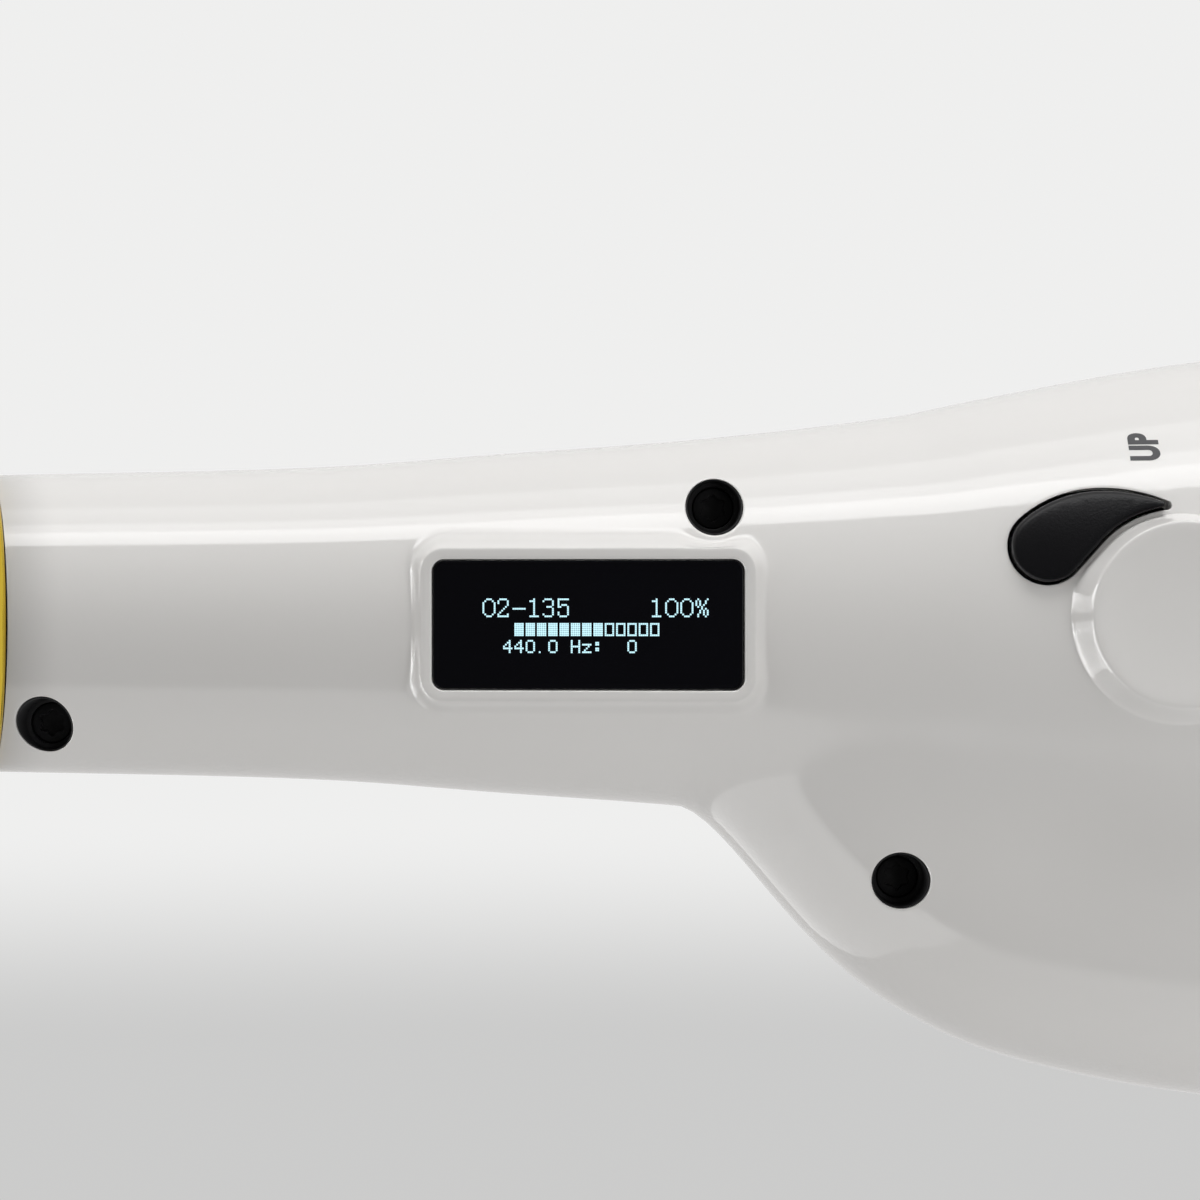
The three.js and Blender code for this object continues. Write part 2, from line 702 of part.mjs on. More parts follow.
// Casing screws in deep wells of the rear casing, and the front casing's posts that they grip.
// The middle posts step out to carry the main board and, further in, the sensor board.
const casingScrews = screwPlaceShares.map(([along, across]) => {
  const station = along * bodyLength;
  return [station, across * radiusAt(station)];
});
const wells = [];
const wellBores = [];
const posts = [];
const postBores = [];
const postRadius = screwRadius + fit + postWall;
const mainBoardFront = mainBoardLevel - boardThickness;
const postFoot = -footRadius;
casingScrews.forEach(([station, side], place) => {
  const frame = throughFrame(station, side);
  const seat = rearHeight(station, side) - wellDepth;
  const floor = seat - wellFloor;
  const tip = floor - fit - screwBite;
  const holeRadius = screwRadius + fit;
  const top = floor - fit;
  const carriesBoards = side === 0;
  wells.push(solidOf(cylinder(wellRadius + wellWall, floor, seat + wellDepth + overrun), frame));
  wellBores.push(solidOf(cylinder(wellRadius, seat, seat + wellDepth + overrun), frame));
  wellBores.push(solidOf(cylinder(holeRadius, tip, seat + fit, boreSides), frame));
  const plainPost = [[0, postFoot], [postRadius, postFoot], [postRadius, top], [0, top]];
  const steppedPost = [
    [0, postFoot],
    [postRadius + 2 * postStep, postFoot],
    [postRadius + 2 * postStep, -sensorBoardLevel - fit],
    [postRadius + postStep, -sensorBoardLevel - fit],
    [postRadius + postStep, mainBoardFront - fit],
    [postRadius, mainBoardFront - fit],
    [postRadius, top],
    [0, top],
  ];
  posts.push(solidOf(turned(carriesBoards ? steppedPost : plainPost, boreSides), frame));
  postBores.push(solidOf(cylinder(holeRadius, tip - fit, top + overrun, boreSides), frame));
  const head = seat + fit;
  const screw = solidOf(turned([
    [0, tip],
    [screwRadius, tip],
    [screwRadius, head],
    [screwHeadRadius, head],
    [screwHeadRadius, head + screwHeadHeight],
    [0, head + screwHeadHeight],
  ], boreSides));
  const drive = solidOf(cylinder(
    screwHeadRadius / 2,
    head + screwHeadHeight / 3,
    head + screwHeadHeight + overrun,
    6,
  ));
  addMesh(`casing_screw_${place + 1}`, geometryOf(screw.subtract(drive)), screwBlack, frame);
});

// Neck joint: the body's top is cut along the lower face of a tilted ring
function tiltedFrame(x, y, z, angle) {
  return new THREE.Matrix4().makeRotationX(degrees(angle)).setPosition(x, y, z);
}
const neckFrame = tiltedFrame(0, 0, zAt(0) + neckJointLift, neckTilt);
const cutSize = 4 * footRadius;
const aboveNeckJoint = solidOf(
  block(cutSize, cutSize, cutSize).translate(0, 0, cutSize / 2 - fit),
  neckFrame,
);

// Halves of space in front of and behind the casing's seam
function half(direction) {
  const reach = bodyLength + cutSize;
  const shift = seamOffset + direction * (fit / 2 + reach / 2);
  return solidOf(block(reach, reach, reach).translate(0, shift, zAt(bodyLength / 2)));
}

function joined(solids) {
  return solids.reduce((sum, solid) => sum.add(solid));
}
const openings = joined(casingOpenings).add(aboveNeckJoint);
const sockets = [];

// Sockets at the foot, each a body that stands a little proud of the casing
function addSocket(name, angle, outside, inside, extra) {
  const frame = skinFrame(socketStation, angle);
  const shape = solidOf(prism(outside(), -socketDepth, socketRise));
  const hollow = solidOf(prism(inside(), wall - socketDepth, socketRise + overrun));
  const socket = shape.subtract(hollow);
  addMesh(name, geometryOf(extra ? socket.add(extra) : socket), steel, frame);
  sockets.push(solidOf(prism(outside(fit), -socketDepth - overrun, socketRise + overrun), frame));
}
const usbInside = tileOutline(usbWidth, usbHeight, usbHeight / 3);
const tongue = solidOf(block(0.8 * usbWidth, usbTongue, socketDepth - wall)
  .translate(0, 0, -(socketDepth + wall) / 2));
const usbOutside = tileOutline(usbWidth + 2 * socketRim, usbHeight + 2 * socketRim, socketRim);
addSocket('usb_c_socket', socketAngle, usbOutside, usbInside, tongue);
addSocket(
  'headphone_socket',
  -socketAngle,
  roundOutline(jackHoleRadius + socketRim),
  roundOutline(jackHoleRadius, 12),
);

// The two casings
const casingOpening = joined([openings, ...sockets]);
const rearCasing = joined([outerForm, bezel, thumbRest])
  .subtract(innerForm)
  .add(joined([panelHolder, ...wells]).intersect(skinForm))
  .intersect(half(-1))
  .subtract(joined([casingOpening, ...wellBores]));
addMesh('rear_casing', geometryOf(rearCasing), whiteShell);
// The posts stand on the front casing and stay clear of the rear one
const postSpace = skinForm.intersect(half(1)).add(bodySolid(-wall - fit));
const frontCasing = outerForm
  .subtract(innerForm)
  .intersect(half(1))
  .add(joined(posts).intersect(postSpace))
  .subtract(joined([casingOpening, ...postBores]));
addMesh('front_casing', geometryOf(frontCasing), whiteShell);

// Path in the plane x = 0 that runs straight, bends and runs straight again. The angle is the
// heading's turn from +Z towards -Y.
function bentPath(y, z, angle, straight, bend, turn) {
  const heading = (at) => new THREE.Vector3(0, -Math.sin(degrees(at)), Math.cos(degrees(at)));
  const outward = (at) => new THREE.Vector3(0, Math.cos(degrees(at)), Math.sin(degrees(at)));
  const arc = bend * degrees(turn);
  return (distance) => {
    const along = THREE.MathUtils.clamp(distance - straight, 0, arc);
    const at = angle + THREE.MathUtils.radToDeg(along / bend);
    const centre = new THREE.Vector3(0, y, z)
      .addScaledVector(heading(angle), Math.min(distance, straight))
      .addScaledVector(outward(at), bend)
      .addScaledVector(outward(angle), -bend)
      .addScaledVector(heading(at), Math.max(distance - straight - arc, 0));
    return tiltedFrame(0, centre.y, centre.z, at);
  };
}

// Hollow body round a path. Rows of distance and radius go out along its skin and back inside.
function sweptShell(path, rows, sides) {
  const positions = [];
  const index = [];
  rows.forEach(([distance, radius], row) => {
    const frame = path(distance);
    const after = (row + 1) % rows.length;
    for (let side = 0; side < sides; side += 1) {
      const angle = (side / sides) * fullTurn;
      const point = new THREE.Vector3(Math.cos(angle), Math.sin(angle), 0).multiplyScalar(radius);
      positions.push(...point.applyMatrix4(frame));
      const next = (side + 1) % sides;
      const [a, b] = [row * sides + side, row * sides + next];
      const [c, d] = [after * sides + next, after * sides + side];
      index.push(a, b, c, a, c, d);
    }
  });
  const geometry = new THREE.BufferGeometry();
  geometry.setAttribute('position', new THREE.Float32BufferAttribute(positions, 3));
  geometry.setIndex(index);
  return geometry;
}

// Rows from one distance and radius to another, eased, with the given thickness taken off
function taperRows(from, to, startRadius, endRadius, steps, inset = 0) {
  const rows = [];
  for (let step = 0; step <= steps; step += 1) {
    const share = step / steps;
    const eased = THREE.MathUtils.smoothstep(share, 0, 1);
    const radius = THREE.MathUtils.lerp(startRadius, endRadius, eased) - inset;
    rows.push([THREE.MathUtils.lerp(from, to, share), radius]);
  }
  return rows;
}

// Band of revolution with rounded outer edges, from a low to a high end
function band(inside, outside, low, high) {
  const edge = (outside - inside) / 3;
  return turnedRing([
    [inside, low],
    [outside - edge, low],
    [outside, low + edge],
    [outside, high - edge],
    [outside - edge, high],
    [inside, high],
  ]);
}

// Neck ring and neck, with a spigot in the ring and a tenon for the mouthpiece
const neckBore = topRadius - wall;
addMesh('neck_ring', band(neckBore, topRadius + ringProud, 0, ringHeight), goldPlate, neckFrame);
const neckStart = ringHeight + fit;
const neckTurn = neckEndAngle - neckTilt;
const neckBendStart = neckStart + neckStraight;
const neckPath = bentPath(
  0,
  zAt(0) + neckJointLift,
  neckTilt,
  neckBendStart,
  neckBendRadius,
  neckTurn,
);
const neckEnd = neckBendStart + neckBendRadius * degrees(neckTurn) + neckEndStraight;
const tenonEnd = neckEnd + tenonLength;
const spigotRadius = neckBore - fit;
const neckInside = taperRows(neckStart, neckEnd - neckWall, topRadius, neckEndRadius, 5, neckWall);
addMesh('neck', sweptShell(neckPath, [
  [0, spigotRadius],
  [neckStart, spigotRadius],
  ...taperRows(neckStart, neckEnd, topRadius, neckEndRadius, 8),
  [neckEnd, tenonRadius],
  [tenonEnd, tenonRadius],
  [tenonEnd, tenonBore],
  [neckEnd - neckWall, tenonBore],
  ...neckInside.reverse().slice(0, -1),
  [neckStart, spigotRadius - neckWall],
  [0, spigotRadius - neckWall],
], neckSides), whiteShell);

const mouthFrame = neckPath(neckEnd);
const corkRadius = tenonRadius + corkThickness;
const corkStart = (tenonLength - corkLength) / 2;
addMesh('neck_cork', turnedRing([
  [tenonRadius + fit, corkStart],
  [corkRadius, corkStart],
  [corkRadius, corkStart + corkLength],
  [tenonRadius + fit, corkStart + corkLength],
], roundSides), corkBrown, mouthFrame);

// Mouthpiece: shares of its length against how far width, height and centre have reached the tip
const mouthpieceShares = [
  [0, 0, 0, 0], [0.45, 0.15, 0.1, 0], [0.62, 0.35, 0.3, 0.25], [0.8, 0.65, 0.62, 0.6],
  [0.96, 0.95, 0.94, 0.95], [1, 1, 1, 1],
];
const mouthpieceStart = 1.5 * corkStart;
const mouthpieceFrame = neckPath(neckEnd + mouthpieceStart);
const tipCentre = reedTipGap + mouthpieceTipThickness / 2 - mouthpieceTable;
const mouthpieceForm = stack(mouthpieceShares.map(([along, wide, high, down]) => {
  const halfWidth = THREE.MathUtils.lerp(mouthpieceRadius, mouthpieceTipWidth / 2, wide);
  const halfHeight = THREE.MathUtils.lerp(mouthpieceRadius, mouthpieceTipThickness / 2, high);
  const centre = tipCentre * down;
  const points = roundOutline(1, neckSides)().map((point) => (
    new THREE.Vector2(point.x * halfWidth, centre + point.y * halfHeight)
  ));
  return { points, height: along * mouthpieceLength };
}));
const tableStart = mouthpieceLength - reedLength - overrun;
const tableCut = block(cutSize, cutSize, cutSize)
  .translate(0, -cutSize / 2 - mouthpieceTable, cutSize / 2 + tableStart);
// The bore's flats clear the cork's corners, so that the mouthpiece turns on it
const socketBoreRadius = (corkRadius + fit) / Math.cos(Math.PI / roundSides);
const socketBore = cylinder(socketBoreRadius, -overrun, mouthpieceSocket);
const windowStart = mouthpieceSocket + chamberRadius;
const windowEnd = mouthpieceLength - 2 * chamberRadius;
const windowHeight = 0.6 * mouthpieceTable + overrun;
const chamber = cylinder(chamberRadius, mouthpieceSocket - fit, windowStart + chamberRadius, 12);
const reedWindow = block(2 * chamberRadius, windowHeight, windowEnd - windowStart)
  .translate(0, windowHeight / 2 - mouthpieceTable - overrun, (windowStart + windowEnd) / 2);
const mouthpieceCuts = joined([tableCut, socketBore, chamber, reedWindow].map((cut) => solidOf(cut)));
const mouthpiece = solidOf(mouthpieceForm).subtract(mouthpieceCuts);
addMesh('mouthpiece', geometryOf(mouthpiece), glossBlack, mouthpieceFrame);

// Reed: a flat face on the table and a round back that thins towards the tip
const reedShares = [[0, 1], [0.45, 1], [0.8, 0.35], [1, 0]];
const reed = stack(reedShares.map(([along, thick]) => {
  const depth = THREE.MathUtils.lerp(reedTipThickness, reedThickness, thick);
  const points = arcPoints(new THREE.Vector2(), 1, Math.PI, fullTurn, 8).map((point) => (
    new THREE.Vector2(point.x * reedWidth / 2, point.y * depth - mouthpieceTable - fit)
  ));
  return { points, height: tableStart + overrun / 2 + along * reedLength };
}));
addMesh('reed', reed, reedCane, mouthpieceFrame);

// Foot ring, and the bow in a left and a right half
const footEnd = zAt(bodyLength) - fit;
const footRing = band(footRadius - wall, footRadius + footRingProud, -footRingHeight, 0);
addMesh('foot_ring', footRing, goldPlate, new THREE.Matrix4().setPosition(0, 0, footEnd));
const bowPath = bentPath(0, footEnd - footRingHeight - fit, 180, fit, bowRadius, bowTurn);
const bowEnd = fit + bowRadius * degrees(bowTurn);
const bowInside = taperRows(0, bowEnd, footRadius, bowEndRadius, 8, wall).reverse();
const bow = solidOf(sweptShell(bowPath, [
  ...taperRows(0, bowEnd, footRadius, bowEndRadius, 8),
  ...bowInside,
], largeSides));
[['bow_left', -1], ['bow_right', 1]].forEach(([name, side]) => {
  const reach = 4 * cutSize;
  const space = block(reach, reach, reach).translate(side * (reach + fit) / 2, 0, footEnd);
  addMesh(name, geometryOf(bow.intersect(solidOf(space))), whiteShell);
});

// Bell, flared by a power of the height, with a ledge for the grille
const bellFrame = bowPath(bowEnd + fit);
const flarePower = 2.4;
function bellRadiusAt(height) {
  return bowEndRadius + (bellRimRadius - bowEndRadius) * (height / bellLength) ** flarePower;
}
const grilleSeat = bellLength - grilleDepth;
const ledgeFoot = grilleSeat - bellWall;
const bellShares = [0, 0.42, 0.66, 0.85, 1];
const bellOutside = bellShares.map((share) => share * bellLength);
const bellInside = bellOutside.filter((height) => height > grilleSeat).reverse();
const throatInside = bellOutside.filter((height) => height < ledgeFoot).reverse();
const insideAt = (height) => [bellRadiusAt(height) - bellWall, height];
const ledgeRadius = bellRadiusAt(grilleSeat) - bellWall - grilleLedge;
addMesh('bell', turnedRing([
  ...bellOutside.map((height) => [bellRadiusAt(height), height]),
  ...bellInside.map(insideAt),
  insideAt(grilleSeat),
  [ledgeRadius, grilleSeat],
  [ledgeRadius, ledgeFoot],
  insideAt(ledgeFoot),
  ...throatInside.map(insideAt),
]), whiteShell, bellFrame);
const beadMiddle = new THREE.Vector2(bellRimRadius - bellWall / 2, bellLength + fit + rimBead);
const bead = roundOutline(rimBead, 6)().map((point) => point.add(beadMiddle).toArray());
addMesh('bell_rim', turnedRing(bead), goldPlate, bellFrame);

// Grille: a disc with rows of slots
const grilleRadius = bellRadiusAt(grilleSeat) - bellWall - fit;
const grilleLow = grilleSeat + fit;
const grilleHigh = grilleLow + grilleThickness;
const slotRows = 4;
const slotPitch = (1.7 * grilleRadius) / slotRows;
let grille = solidOf(cylinder(grilleRadius, grilleLow, grilleHigh, largeSides));
for (let row = 0; row < slotRows; row += 1) {
  const y = (row - (slotRows - 1) / 2) * slotPitch;
  const length = 1.7 * Math.sqrt(grilleRadius ** 2 - y ** 2);
  const slot = prism(
    tileOutline(length, grilleSlotWidth, grilleSlotWidth / 2.5)(),
    grilleLow - fit,
    grilleHigh + fit,
  );
  grille = grille.subtract(solidOf(slot.translate(0, y, 0)));
}
addMesh('bell_grille', geometryOf(grille), keyBlack, bellFrame);

const speakerTop = ledgeFoot - fit;
const speakerRadius = bellRadiusAt(speakerTop - bellWall) - bellWall - fit;
addMesh('loudspeaker', turned([
  [0, speakerTop - speakerDepth],
  [speakerMagnetRadius, speakerTop - speakerDepth],
  [speakerMagnetRadius, speakerTop - speakerDepth / 2],
  [0.85 * speakerRadius, speakerTop - bellWall],
  [speakerRadius, speakerTop - bellWall],
  [speakerRadius, speakerTop],
  [0.88 * speakerRadius, speakerTop],
  [0.3 * speakerRadius, speakerTop - speakerDepth / 3],
  [0, speakerTop - speakerDepth / 4],
], largeSides), steel, bellFrame);

// Strap ring: a saddle on the rear casing with an upright eye
const strapSkin = rearHeight(strapStation);
const strapFrame = throughFrame(strapStation);
const strapFootTop = strapSkin + fit + strapFootHeight;
const strapFoot = solidOf(
  prism(tileOutline(strapFootWidth, strapFootLength, strapFootWidth / 3)(), 0, strapFootTop),
  strapFrame,
).subtract(outerClearance);
const strapEyeOutside = strapEyeRadius + strapEyeWall;
const eyeShape = cylinder(
  strapEyeOutside,
  -strapEyeThickness / 2,
  strapEyeThickness / 2,
  neckSides,
);
const eyeHole = cylinder(strapEyeRadius, -strapEyeThickness, strapEyeThickness, neckSides);
const eyeFrame = new THREE.Matrix4()
  .makeRotationY(degrees(90))
  .setPosition(0, -strapSkin - strapEyeReach, zAt(strapStation));
const strapRing = strapFoot.add(solidOf(eyeShape, eyeFrame)).subtract(solidOf(eyeHole, eyeFrame));
addMesh('strap_ring', geometryOf(strapRing.subtract(outerClearance)), steel);

// Right thumb hook: a plate with rails on the casing, a hook that slides along it and its screw
const hookFrame = throughFrame(hookStation);
const hookPlateTop = rearHeight(hookStation) + fit + hookPlateHeight;
const plateOutline = tileOutline(hookPlateWidth, hookPlateLength, hookPlateWidth / 5);
const railGap = hookPlateWidth - 2 * hookRailWidth;
const slotRadius = hookScrewRadius / 2 + fit;
const plateSlot = tileOutline(2 * slotRadius, 2 * (slotRadius + hookTravel), 0.9 * slotRadius);
const hookPlate = solidOf(prism(plateOutline(), 0, hookPlateTop + hookRailHeight), hookFrame)
  .subtract(solidOf(
    block(railGap, 2 * hookPlateLength, 2 * hookRailHeight)
      .translate(0, 0, hookPlateTop + hookRailHeight),
    hookFrame,
  ))
  .subtract(solidOf(
    prism(plateSlot(), 0, hookPlateTop + overrun).translate(0, -hookFootLength / 4, 0),
    hookFrame,
  ))
  .subtract(outerClearance);
addMesh('thumb_hook_plate', geometryOf(hookPlate), steel);

// The hook's side outline: x away from the body and y up it
const hookBottom = -hookFootLength / 2;
const hookTop = hookFootLength / 2 - hookThickness;
const hookCentre = hookThickness + hookRadius;
const hookTip = degrees(20);
const outsideArc = arcPoints(
  new THREE.Vector2(hookCentre, hookTop),
  hookRadius + hookThickness,
  hookTip,
  Math.PI,
  9,
);
const insideArc = arcPoints(new THREE.Vector2(hookCentre, hookTop), hookRadius, Math.PI, hookTip, 9);
const hookOutline = [
  ...outsideArc,
  new THREE.Vector2(0, hookBottom),
  new THREE.Vector2(hookThickness, hookBottom),
  ...insideArc,
];
const hookWide = railGap - 2 * fit;
const hookTurn = new THREE.Matrix4()
  .makeBasis(new THREE.Vector3(0, 0, 1), new THREE.Vector3(0, 1, 0), new THREE.Vector3(-1, 0, 0));
const hookSolid = solidOf(
  prism(hookOutline, -hookWide / 2, hookWide / 2).applyMatrix4(hookTurn)
    .translate(0, 0, hookPlateTop + fit),
);
const screwPlace = -hookFootLength / 4;
const hookScrewHole = solidOf(
  cylinder(hookScrewRadius / 2 + fit, 0, hookPlateTop + hookThickness + overrun, 12)
    .translate(0, screwPlace, 0),
);
addMesh('thumb_hook', geometryOf(hookSolid.subtract(hookScrewHole)), steel, hookFrame);
const screwSeat = hookPlateTop + fit + hookThickness + fit;
addMesh('thumb_hook_screw', turned([
  [0, hookPlateTop - hookPlateHeight / 2],
  [hookScrewRadius / 2, hookPlateTop - hookPlateHeight / 2],
  [hookScrewRadius / 2, screwSeat],
  [hookScrewRadius, screwSeat],
  [hookScrewRadius, screwSeat + 0.8 * hookScrewHeight],
  [0.8 * hookScrewRadius, screwSeat + hookScrewHeight],
  [0, screwSeat + hookScrewHeight],
]).translate(0, screwPlace, 0), goldPlate, hookFrame);

// Boards on the casing's posts
function boardOn(width, topStation, bottomStation, level, holeRadius) {
  const middle = (topStation + bottomStation) / 2;
  const frame = throughFrame(middle);
  const outline = tileOutline(width, bottomStation - topStation, boardThickness);
  let board = solidOf(prism(outline(), level - boardThickness, level), frame);
  for (const [station, side] of casingScrews) {
    const hole = cylinder(holeRadius, level - 2 * boardThickness, level + boardThickness);
    const overBoard = side === 0 && station > topStation && station < bottomStation;
    board = overBoard ? board.subtract(solidOf(hole, throughFrame(station))) : board;
  }
  return board;
}
const chips = [0.14, 0.36, 0.84].map((share) => {
  const station = THREE.MathUtils.lerp(mainBoardTop, mainBoardBottom, share);
  const chip = block(chipLength, chipLength, chipHeight + boardThickness)
    .translate(0, 0, mainBoardLevel + chipHeight / 2 - boardThickness / 2);
  return solidOf(chip, throughFrame(station));
});
const mainBoard = boardOn(
  mainBoardWidth,
  mainBoardTop,
  mainBoardBottom,
  mainBoardLevel,
  postRadius + fit,
);
addMesh('main_board', geometryOf(joined([mainBoard, ...chips])), boardGreen);
const sensorBoard = boardOn(
  sensorBoardWidth,
  leftHandStation - leftHandPitch,
  casingScrews[4][0] + 2 * postRadius,
  -sensorBoardLevel + boardThickness,
  postRadius + postStep + fit,
);
addMesh('key_sensor_board', geometryOf(sensorBoard), boardGreen);

// Cell in the foot, breath sensor in the top and the hose between it and the neck
const lastScrewStation = casingScrews.at(-1)[0];
const cellStation = lastScrewStation - postRadius - cellGap - cellLength / 2;
const cellTop = cellStation - cellLength / 2;
const cellHeight = -(radiusAt(cellTop) - wall - cellRadius - 2 * fit);
const cellMiddle = throughFrame(cellStation).multiply(
  new THREE.Matrix4().makeRotationX(degrees(90)).setPosition(0, 0, cellHeight),
);
addMesh(
  'battery_cell',
  cylinder(cellRadius, -cellLength / 2, cellLength / 2, 20),
  cellBlue,
  cellMiddle,
);
const breathFront = Math.sqrt((radiusAt(breathStation) - wall) ** 2 - (breathWidth / 2) ** 2) - fit;
const breathLevel = breathHeight / 2 - breathFront;
addMesh(
  'breath_sensor',
  block(breathWidth, breathLength, breathHeight).translate(0, 0, breathLevel),
  rubberGrey,
  throughFrame(breathStation),
);
const hoseSection = new THREE.Shape(roundOutline(hoseRadius, 6)());
hoseSection.holes.push(new THREE.Path(roundOutline(hoseBore, 6)().reverse()));
const pathPoint = (distance) => new THREE.Vector3().setFromMatrixPosition(neckPath(distance));
const hoseRoute = new THREE.CatmullRomCurve3([
  new THREE.Vector3(0, -breathLevel, zAt(breathStation) + breathLength / 2 + fit),
  new THREE.Vector3(0, -breathLevel, zAt(breathStation) + breathLength),
  pathPoint(0),
  pathPoint(neckBendStart),
  pathPoint((neckBendStart + neckEnd) / 2),
  pathPoint(neckEnd),
  pathPoint(tenonEnd - tenonBore),
]);
addMesh('air_hose', new THREE.ExtrudeGeometry(hoseSection, {
  steps: 12,
  extrudePath: hoseRoute,
}), rubberGrey);

export default instrument;
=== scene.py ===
import math

import bpy
import bmesh
import numpy as np
from mathutils import Matrix, Vector
from mathutils.geometry import delaunay_2d_cdt


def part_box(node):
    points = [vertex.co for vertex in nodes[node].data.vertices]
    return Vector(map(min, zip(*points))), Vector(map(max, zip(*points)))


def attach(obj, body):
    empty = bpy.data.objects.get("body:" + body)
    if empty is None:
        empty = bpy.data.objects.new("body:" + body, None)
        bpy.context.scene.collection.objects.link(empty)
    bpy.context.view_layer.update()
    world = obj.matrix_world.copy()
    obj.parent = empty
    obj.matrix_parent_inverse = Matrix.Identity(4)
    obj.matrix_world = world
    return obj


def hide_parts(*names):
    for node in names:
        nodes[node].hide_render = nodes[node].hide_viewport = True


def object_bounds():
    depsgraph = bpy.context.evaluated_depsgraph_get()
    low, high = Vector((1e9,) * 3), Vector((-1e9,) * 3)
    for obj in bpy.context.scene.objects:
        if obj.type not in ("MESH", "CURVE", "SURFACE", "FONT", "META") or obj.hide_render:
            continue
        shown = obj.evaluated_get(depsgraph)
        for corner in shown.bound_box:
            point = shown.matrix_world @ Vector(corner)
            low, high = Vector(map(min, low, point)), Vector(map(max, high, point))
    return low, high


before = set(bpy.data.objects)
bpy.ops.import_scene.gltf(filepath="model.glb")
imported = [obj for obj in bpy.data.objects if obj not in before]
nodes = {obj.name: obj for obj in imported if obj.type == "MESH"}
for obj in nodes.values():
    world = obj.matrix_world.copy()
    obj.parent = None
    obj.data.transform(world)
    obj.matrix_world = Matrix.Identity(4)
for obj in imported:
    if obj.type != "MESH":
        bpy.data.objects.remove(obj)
cad_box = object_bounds()
bpy.ops.object.select_all(action="DESELECT")

MM = 0.001

# Camera, light and floor

VIEW_CENTRE = Vector((0.0023, 0.0190, 0.1292))
VIEW_DISTANCE = 0.300

camera_data = bpy.data.cameras.new("view")
camera_data.lens = 97.0
camera_data.sensor_width = 36.0
camera_data.clip_start = 0.01
camera = bpy.data.objects.new("view", camera_data)
bpy.context.scene.collection.objects.link(camera)
camera.matrix_world = Matrix((
    (0.0, 1.0, 0.0, VIEW_CENTRE.x),
    (0.0, 0.0, -1.0, VIEW_CENTRE.y - VIEW_DISTANCE),
    (-1.0, 0.0, 0.0, VIEW_CENTRE.z),
    (0.0, 0.0, 0.0, 1.0),
))
bpy.context.scene.camera = camera
bpy.context.scene.view_settings.view_transform = "Standard"


def soft_lamp(name, receivers, angle, distance, width, length, power, height=0.13, lift=0.0):
    """Soft light beside the body. The angle turns from the player's side to the player's right,
    and the lift raises the lamp towards the mouthpiece end. A softbox lights and isn't mirrored,
    and a card is only mirrored."""
    turn = math.radians(angle)
    data = bpy.data.lights.new(name, "AREA")
    data.shape = "RECTANGLE"
    data.size = width
    data.size_y = length
    data.energy = power
    lamp = bpy.data.objects.new(name, data)
    bpy.context.scene.collection.objects.link(lamp)
    aim = Vector((0, 0.03, height))
    place = aim + distance * Vector((math.sin(turn), -math.cos(turn), lift))
    lamp.location = place
    lamp.rotation_euler = (aim - place).to_track_quat("-Z", "Y").to_euler()
    lamp.visible_camera = False
    if "card" in name:
        lamp.visible_diffuse = False
    else:
        lamp.visible_glossy = False
    lamp.light_linking.receiver_collection = receivers


all_but_floor, only_floor, only_rear = (
    bpy.data.collections.new(name) for name in ("all_but_floor", "only_floor", "only_rear"))
for lamp_values in (
        ("key_softbox", all_but_floor, 81, 0.9, 0.56, 0.62, 5.6),
        ("fill_softbox", all_but_floor, -68, 1.0, 1.0, 1.1, 2.25),
        ("near_softbox", all_but_floor, -4, 0.36, 0.15, 0.15, 0.31, -0.03, -0.25),
        ("overhead_softbox", all_but_floor, 0, 0.01, 2.6, 2.6, 15.0, 0.13, 150.0),
        ("keys_softbox", all_but_floor, 180, 1.3, 1.1, 1.3, 7.0, 0.0, 0.35),
        ("slope_card", all_but_floor, -98, 0.6, 2.0, 0.6, 3.3, 0.10, 1.1),
        ("floor_softbox", only_floor, 0, 0.01, 3.0, 3.0, 60.0, 0.13, 220.0),
        ("crown_card", only_rear, 90, 0.12, 0.85, 0.85, 17.0, 0.13, 9.95),
        ("flank_card", only_rear, -90, 0.56, 0.75, 0.75, 11.0, 0.13, 1.87),
        ("light_card_1", all_but_floor, 67.5, 0.9, 0.18, 0.75, 2.15),
        ("light_card_2", all_but_floor, 77, 0.9, 0.13, 0.75, 0.85),
        ("light_card_3", all_but_floor, 90, 0.9, 0.28, 0.75, 0.65)):
    soft_lamp(*lamp_values)


def add_node(tree, kind, inputs=None, **settings):
    """Shader node with its settings. Each input is fed by a socket or holds a value."""
    made = tree.nodes.new(f"ShaderNode{kind}")
    for label, value in settings.items():
        setattr(made, label, value)
    for label, value in (inputs or {}).items():
        if isinstance(value, bpy.types.NodeSocket):
            tree.links.new(value, made.inputs[label])
        else:
            made.inputs[label].default_value = value
    return made


def eased(tree, value, from_min, from_max, to_min, to_max):
    """Value that runs smoothly from one span to another."""
    spans = {"From Min": from_min, "From Max": from_max, "To Min": to_min, "To Max": to_max}
    return add_node(tree, "MapRange", {"Value": value, **spans},
                    interpolation_type="SMOOTHSTEP").outputs[0]


def math_node(tree, operation, *values):
    return add_node(tree, "Math", dict(enumerate(values)), operation=operation).outputs[0]


